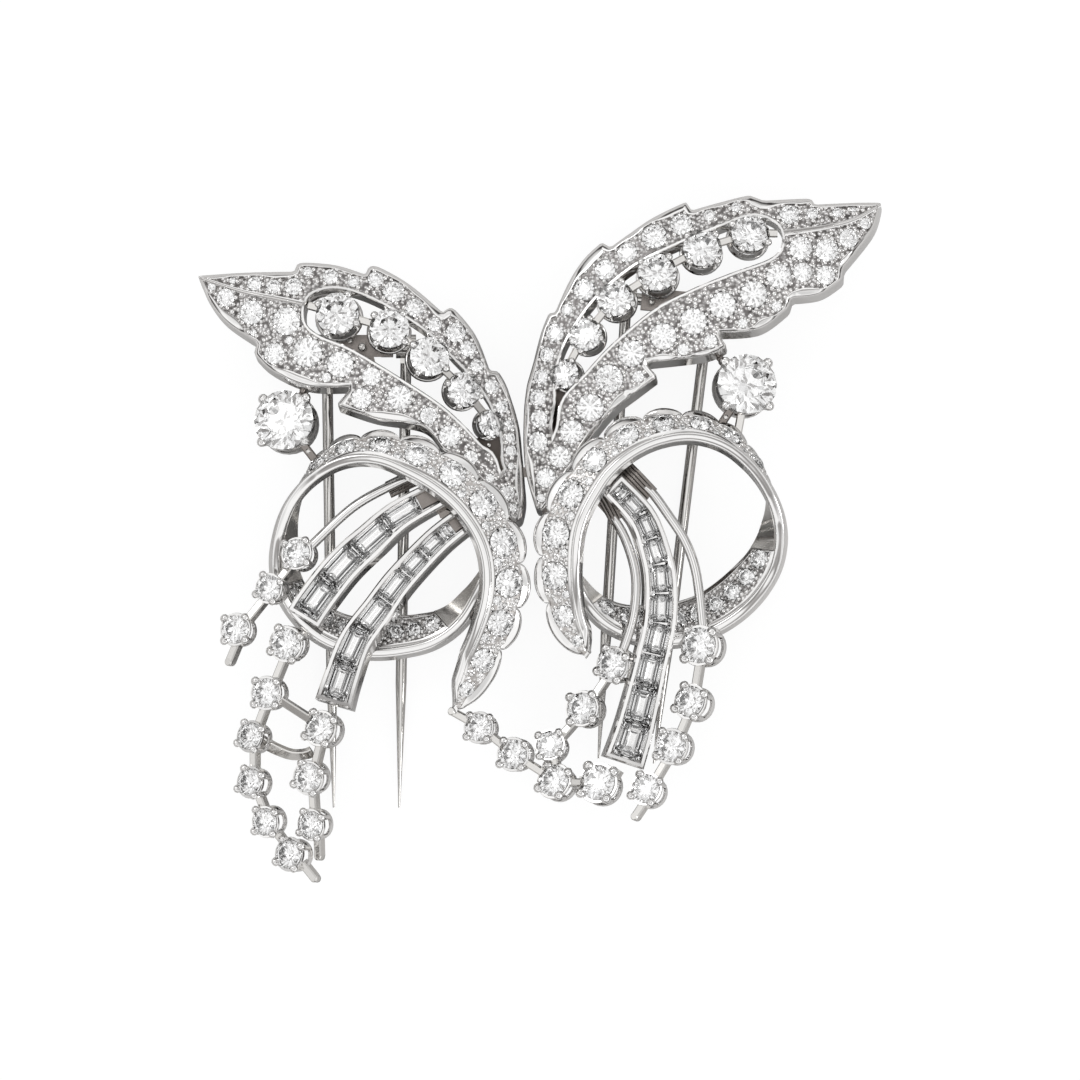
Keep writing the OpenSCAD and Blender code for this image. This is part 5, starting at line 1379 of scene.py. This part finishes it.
def solitaire_piece(side, place, hand, arms, knob):
    """A large brilliant in a tall head on its arms, with a bead on a short arm to the leaf beside it."""
    x, y, r = place
    centre = np.array([x, y])
    here = [((x, y, SOLITAIRE_Z), (hand * SOLITAIRE_LEAN[0], SOLITAIRE_LEAN[1], 1), r, 0.0)]
    bead, end = np.array(knob)
    inner = bead + 0.9 * unit(centre - bead)
    low = SOLITAIRE_Z - KNOB_ARM_DROP
    # The short arm, its bead and the first arm are brushed metal painted dark as shade
    dark = [flat_bar([*inner, low], [*end, low], *KNOB_ARM_SIZE),
            tube([[*bead, SOLITAIRE_Z + high] for high, _ in KNOB_RINGS],
                 [KNOB_R * share for _, share in KNOB_RINGS], 12)]
    bright = []
    start_z, end_z = (SOLITAIRE_Z - drop for drop in ARM_DROP)
    for i, arm in enumerate(arms):
        d = unit(np.array(arm) - centre)
        bar = flat_bar([*(centre + d * 0.8 * r), start_z], [*arm, end_z], *ARM_SIZE)
        if i == 0:
            dark.append(bar)
            bright.append(placed(
                lathe(RIVET, 14, False), [*(centre + d * RIVET_OUT * r), SOLITAIRE_Z - RIVET_DROP]))
        else:
            bright.append(bar)
    show(side + "_solitaire_head", [
        set_copies(side + " solitaire head", SOLITAIRE_HEAD, POLISHED, here),
        mesh_of(side + " solitaire arms", dark, BRUSHED_PAINTED_SHADE),
        mesh_of(side + " solitaire bright arms", bright, DRAWN),
    ], [side + "_solitaire_setting"])
    show(side + "_solitaire_cut", [set_copies(side + " solitaire stone", BRILLIANT, DIAMOND, here)],
         [side + "_solitaire"])


leaf_piece("left", LEFT_UPPER, LEFT_LOWER, LEFT_OPENING, LEFT_SPINE, -1, LEFT_MIDRIB, LEFT_LEAF_STONES,
           LEFT_ROW, LEFT_ROW_LEANS, LEFT_ROW_KNOBS, LEFT_SLIT_BACK)
leaf_piece("right", RIGHT_UPPER, RIGHT_LOWER, RIGHT_OPENING, RIGHT_SPINE, 1, RIGHT_MIDRIB, RIGHT_LEAF_STONES,
           RIGHT_ROW, RIGHT_ROW_LEANS, RIGHT_ROW_KNOBS, RIGHT_SLIT_BACK)
scroll_piece("left", LEFT_SCROLL, LEFT_SCROLL_CENTRE, 1, LEFT_NOTCHES, LEFT_RING_SET)
scroll_piece("right", RIGHT_SCROLL, RIGHT_SCROLL_CENTRE, -1, RIGHT_NOTCHES, RIGHT_RING_SET)
for name, ribbon in RIBBONS.items():
    ribbon_piece(name, **ribbon)
for name, spray in SPRAYS.items():
    spray_piece(name, **spray)
for name, solitaire in SOLITAIRES.items():
    solitaire_piece(name, **solitaire)

for helper in (BRILLIANT, GRAIN, SPRAY_HEAD, ROW_HEAD, SOLITAIRE_HEAD):
    bpy.data.objects.remove(helper)

# Back frames and link bar get the brushed metal painted dark as shade; the pin forks stay drawn
for name, finish in (("left_back_frame", BRUSHED_PAINTED_SHADE), ("right_back_frame", BRUSHED_PAINTED_SHADE), ("link_bar", BRUSHED_PAINTED_SHADE),
                     ("left_pin_fork", DRAWN), ("right_pin_fork", DRAWN)):
    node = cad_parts[name]
    node.data.materials.clear()
    node.data.materials.append(finish)


# Stage: white paper under an overhead softbox, with a ring of panels in a dim room

def floor():
    """White paper: bright to the camera, and a warm shade in what the metal and the stones reflect of it."""
    made, tree = new_material("matte white paper")
    where = add_node(tree, "ShaderNodeTexCoord").outputs["Object"]
    fibre = add_node(tree, "ShaderNodeTexNoise", {"Vector": where, "Scale": 400.0})
    shade = add_node(tree, "ShaderNodeMapRange", {
        "Value": fibre.outputs["Fac"], "To Min": 0.1, "To Max": 0.115})
    bright = add_node(tree, "ShaderNodeBsdfPrincipled", {
        "Base Color": shade.outputs["Result"], "Roughness": 0.9, "Emission Color": linear("#FFFFFF"),
        "Emission Strength": 0.92})
    shaded = add_node(tree, "ShaderNodeBsdfPrincipled", {"Base Color": linear("#DAD9D8"), "Roughness": 0.9})
    path = add_node(tree, "ShaderNodeLightPath")
    mix = add_node(tree, "ShaderNodeMixShader", {
        0: path.outputs["Is Camera Ray"], 1: shaded.outputs["BSDF"], 2: bright.outputs["BSDF"]})
    add_node(tree, "ShaderNodeOutputMaterial", {"Surface": mix.outputs["Shader"]})
    mesh = bpy.data.meshes.new("floor")
    corners = [(FLOOR_HALF * x, FLOOR_HALF * y, 0) for x, y in ((-1, -1), (1, -1), (1, 1), (-1, 1))]
    mesh.from_pydata(corners, [], [(0, 1, 2, 3)])
    mesh.materials.append(made)
    sheet = add_object("floor", mesh)


def room_light():
    """The room by its height, with the ring broken into soft patches; the camera sees a white wall."""
    world = bpy.data.worlds.new("studio")
    world.use_nodes = True
    tree = world.node_tree
    tree.nodes.clear()
    where = add_node(tree, "ShaderNodeTexCoord").outputs["Generated"]
    height = add_node(tree, "ShaderNodeSeparateXYZ", {"Vector": where}).outputs["Z"]
    patches = add_node(tree, "ShaderNodeTexNoise", {"Vector": where, "Scale": 2.3, "Detail": 1.0})
    level = add_node(tree, "ShaderNodeMapRange", {
        "Value": patches.outputs["Fac"], "From Min": 0.42, "From Max": 0.56, "To Min": 0.8, "To Max": 1.15})
    overhead = add_node(tree, "ShaderNodeMapRange", {
        "Value": height, "From Min": 0.9, "From Max": 0.94, "To Min": 0.0, "To Max": 1.05})
    strength = add_node(tree, "ShaderNodeMath", {
        0: level.outputs["Result"], 1: overhead.outputs["Result"]}, operation="MAXIMUM")
    room = add_node(tree, "ShaderNodeBackground", {
        "Color": add_ramp(tree, height, ROOM_STOPS), "Strength": strength.outputs["Value"]})
    wall = add_node(tree, "ShaderNodeBackground", {"Color": linear("#FCFCFC"), "Strength": 1.0})
    path = add_node(tree, "ShaderNodeLightPath")
    mix = add_node(tree, "ShaderNodeMixShader", {
        0: path.outputs["Is Camera Ray"], 1: room.outputs["Background"], 2: wall.outputs["Background"]})
    add_node(tree, "ShaderNodeOutputWorld", {"Surface": mix.outputs["Shader"]})
    bpy.context.scene.world = world


def panel(name, at, size, power):
    """A soft panel that faces the brooch and that the camera doesn't see."""
    light = bpy.data.lights.new(name, "AREA")
    light.shape = "SQUARE"
    light.size = size
    light.energy = power
    lamp = add_object(name, light)
    lamp.location = at
    lamp.rotation_euler = (Vector((0, 0, 0.005)) - Vector(at)).to_track_quat("-Z", "Y").to_euler()
    lamp.visible_camera = False


floor()
room_light()
panel("key panel", (-0.3, 0.3, 0.42), 0.24, 0.3)
panel("fill panel", (0.42, -0.1, 0.3), 0.1, 0.25)

camera = add_object("camera", bpy.data.cameras.new("camera"))
camera.data.sensor_width = SENSOR_MM
camera.data.lens = SENSOR_MM * (CAMERA_HEIGHT - FACE_HEIGHT) / VIEW_WIDTH
camera.data.clip_start = 0.01
camera.location = (0, 0, CAMERA_HEIGHT)
bpy.context.scene.camera = camera

scene = bpy.context.scene
scene.view_settings.view_transform = "Standard"
scene.cycles.max_bounces = 14
scene.cycles.transmission_bounces = 12
scene.cycles.glossy_bounces = 6
scene.cycles.caustics_reflective = False
scene.cycles.caustics_refractive = False
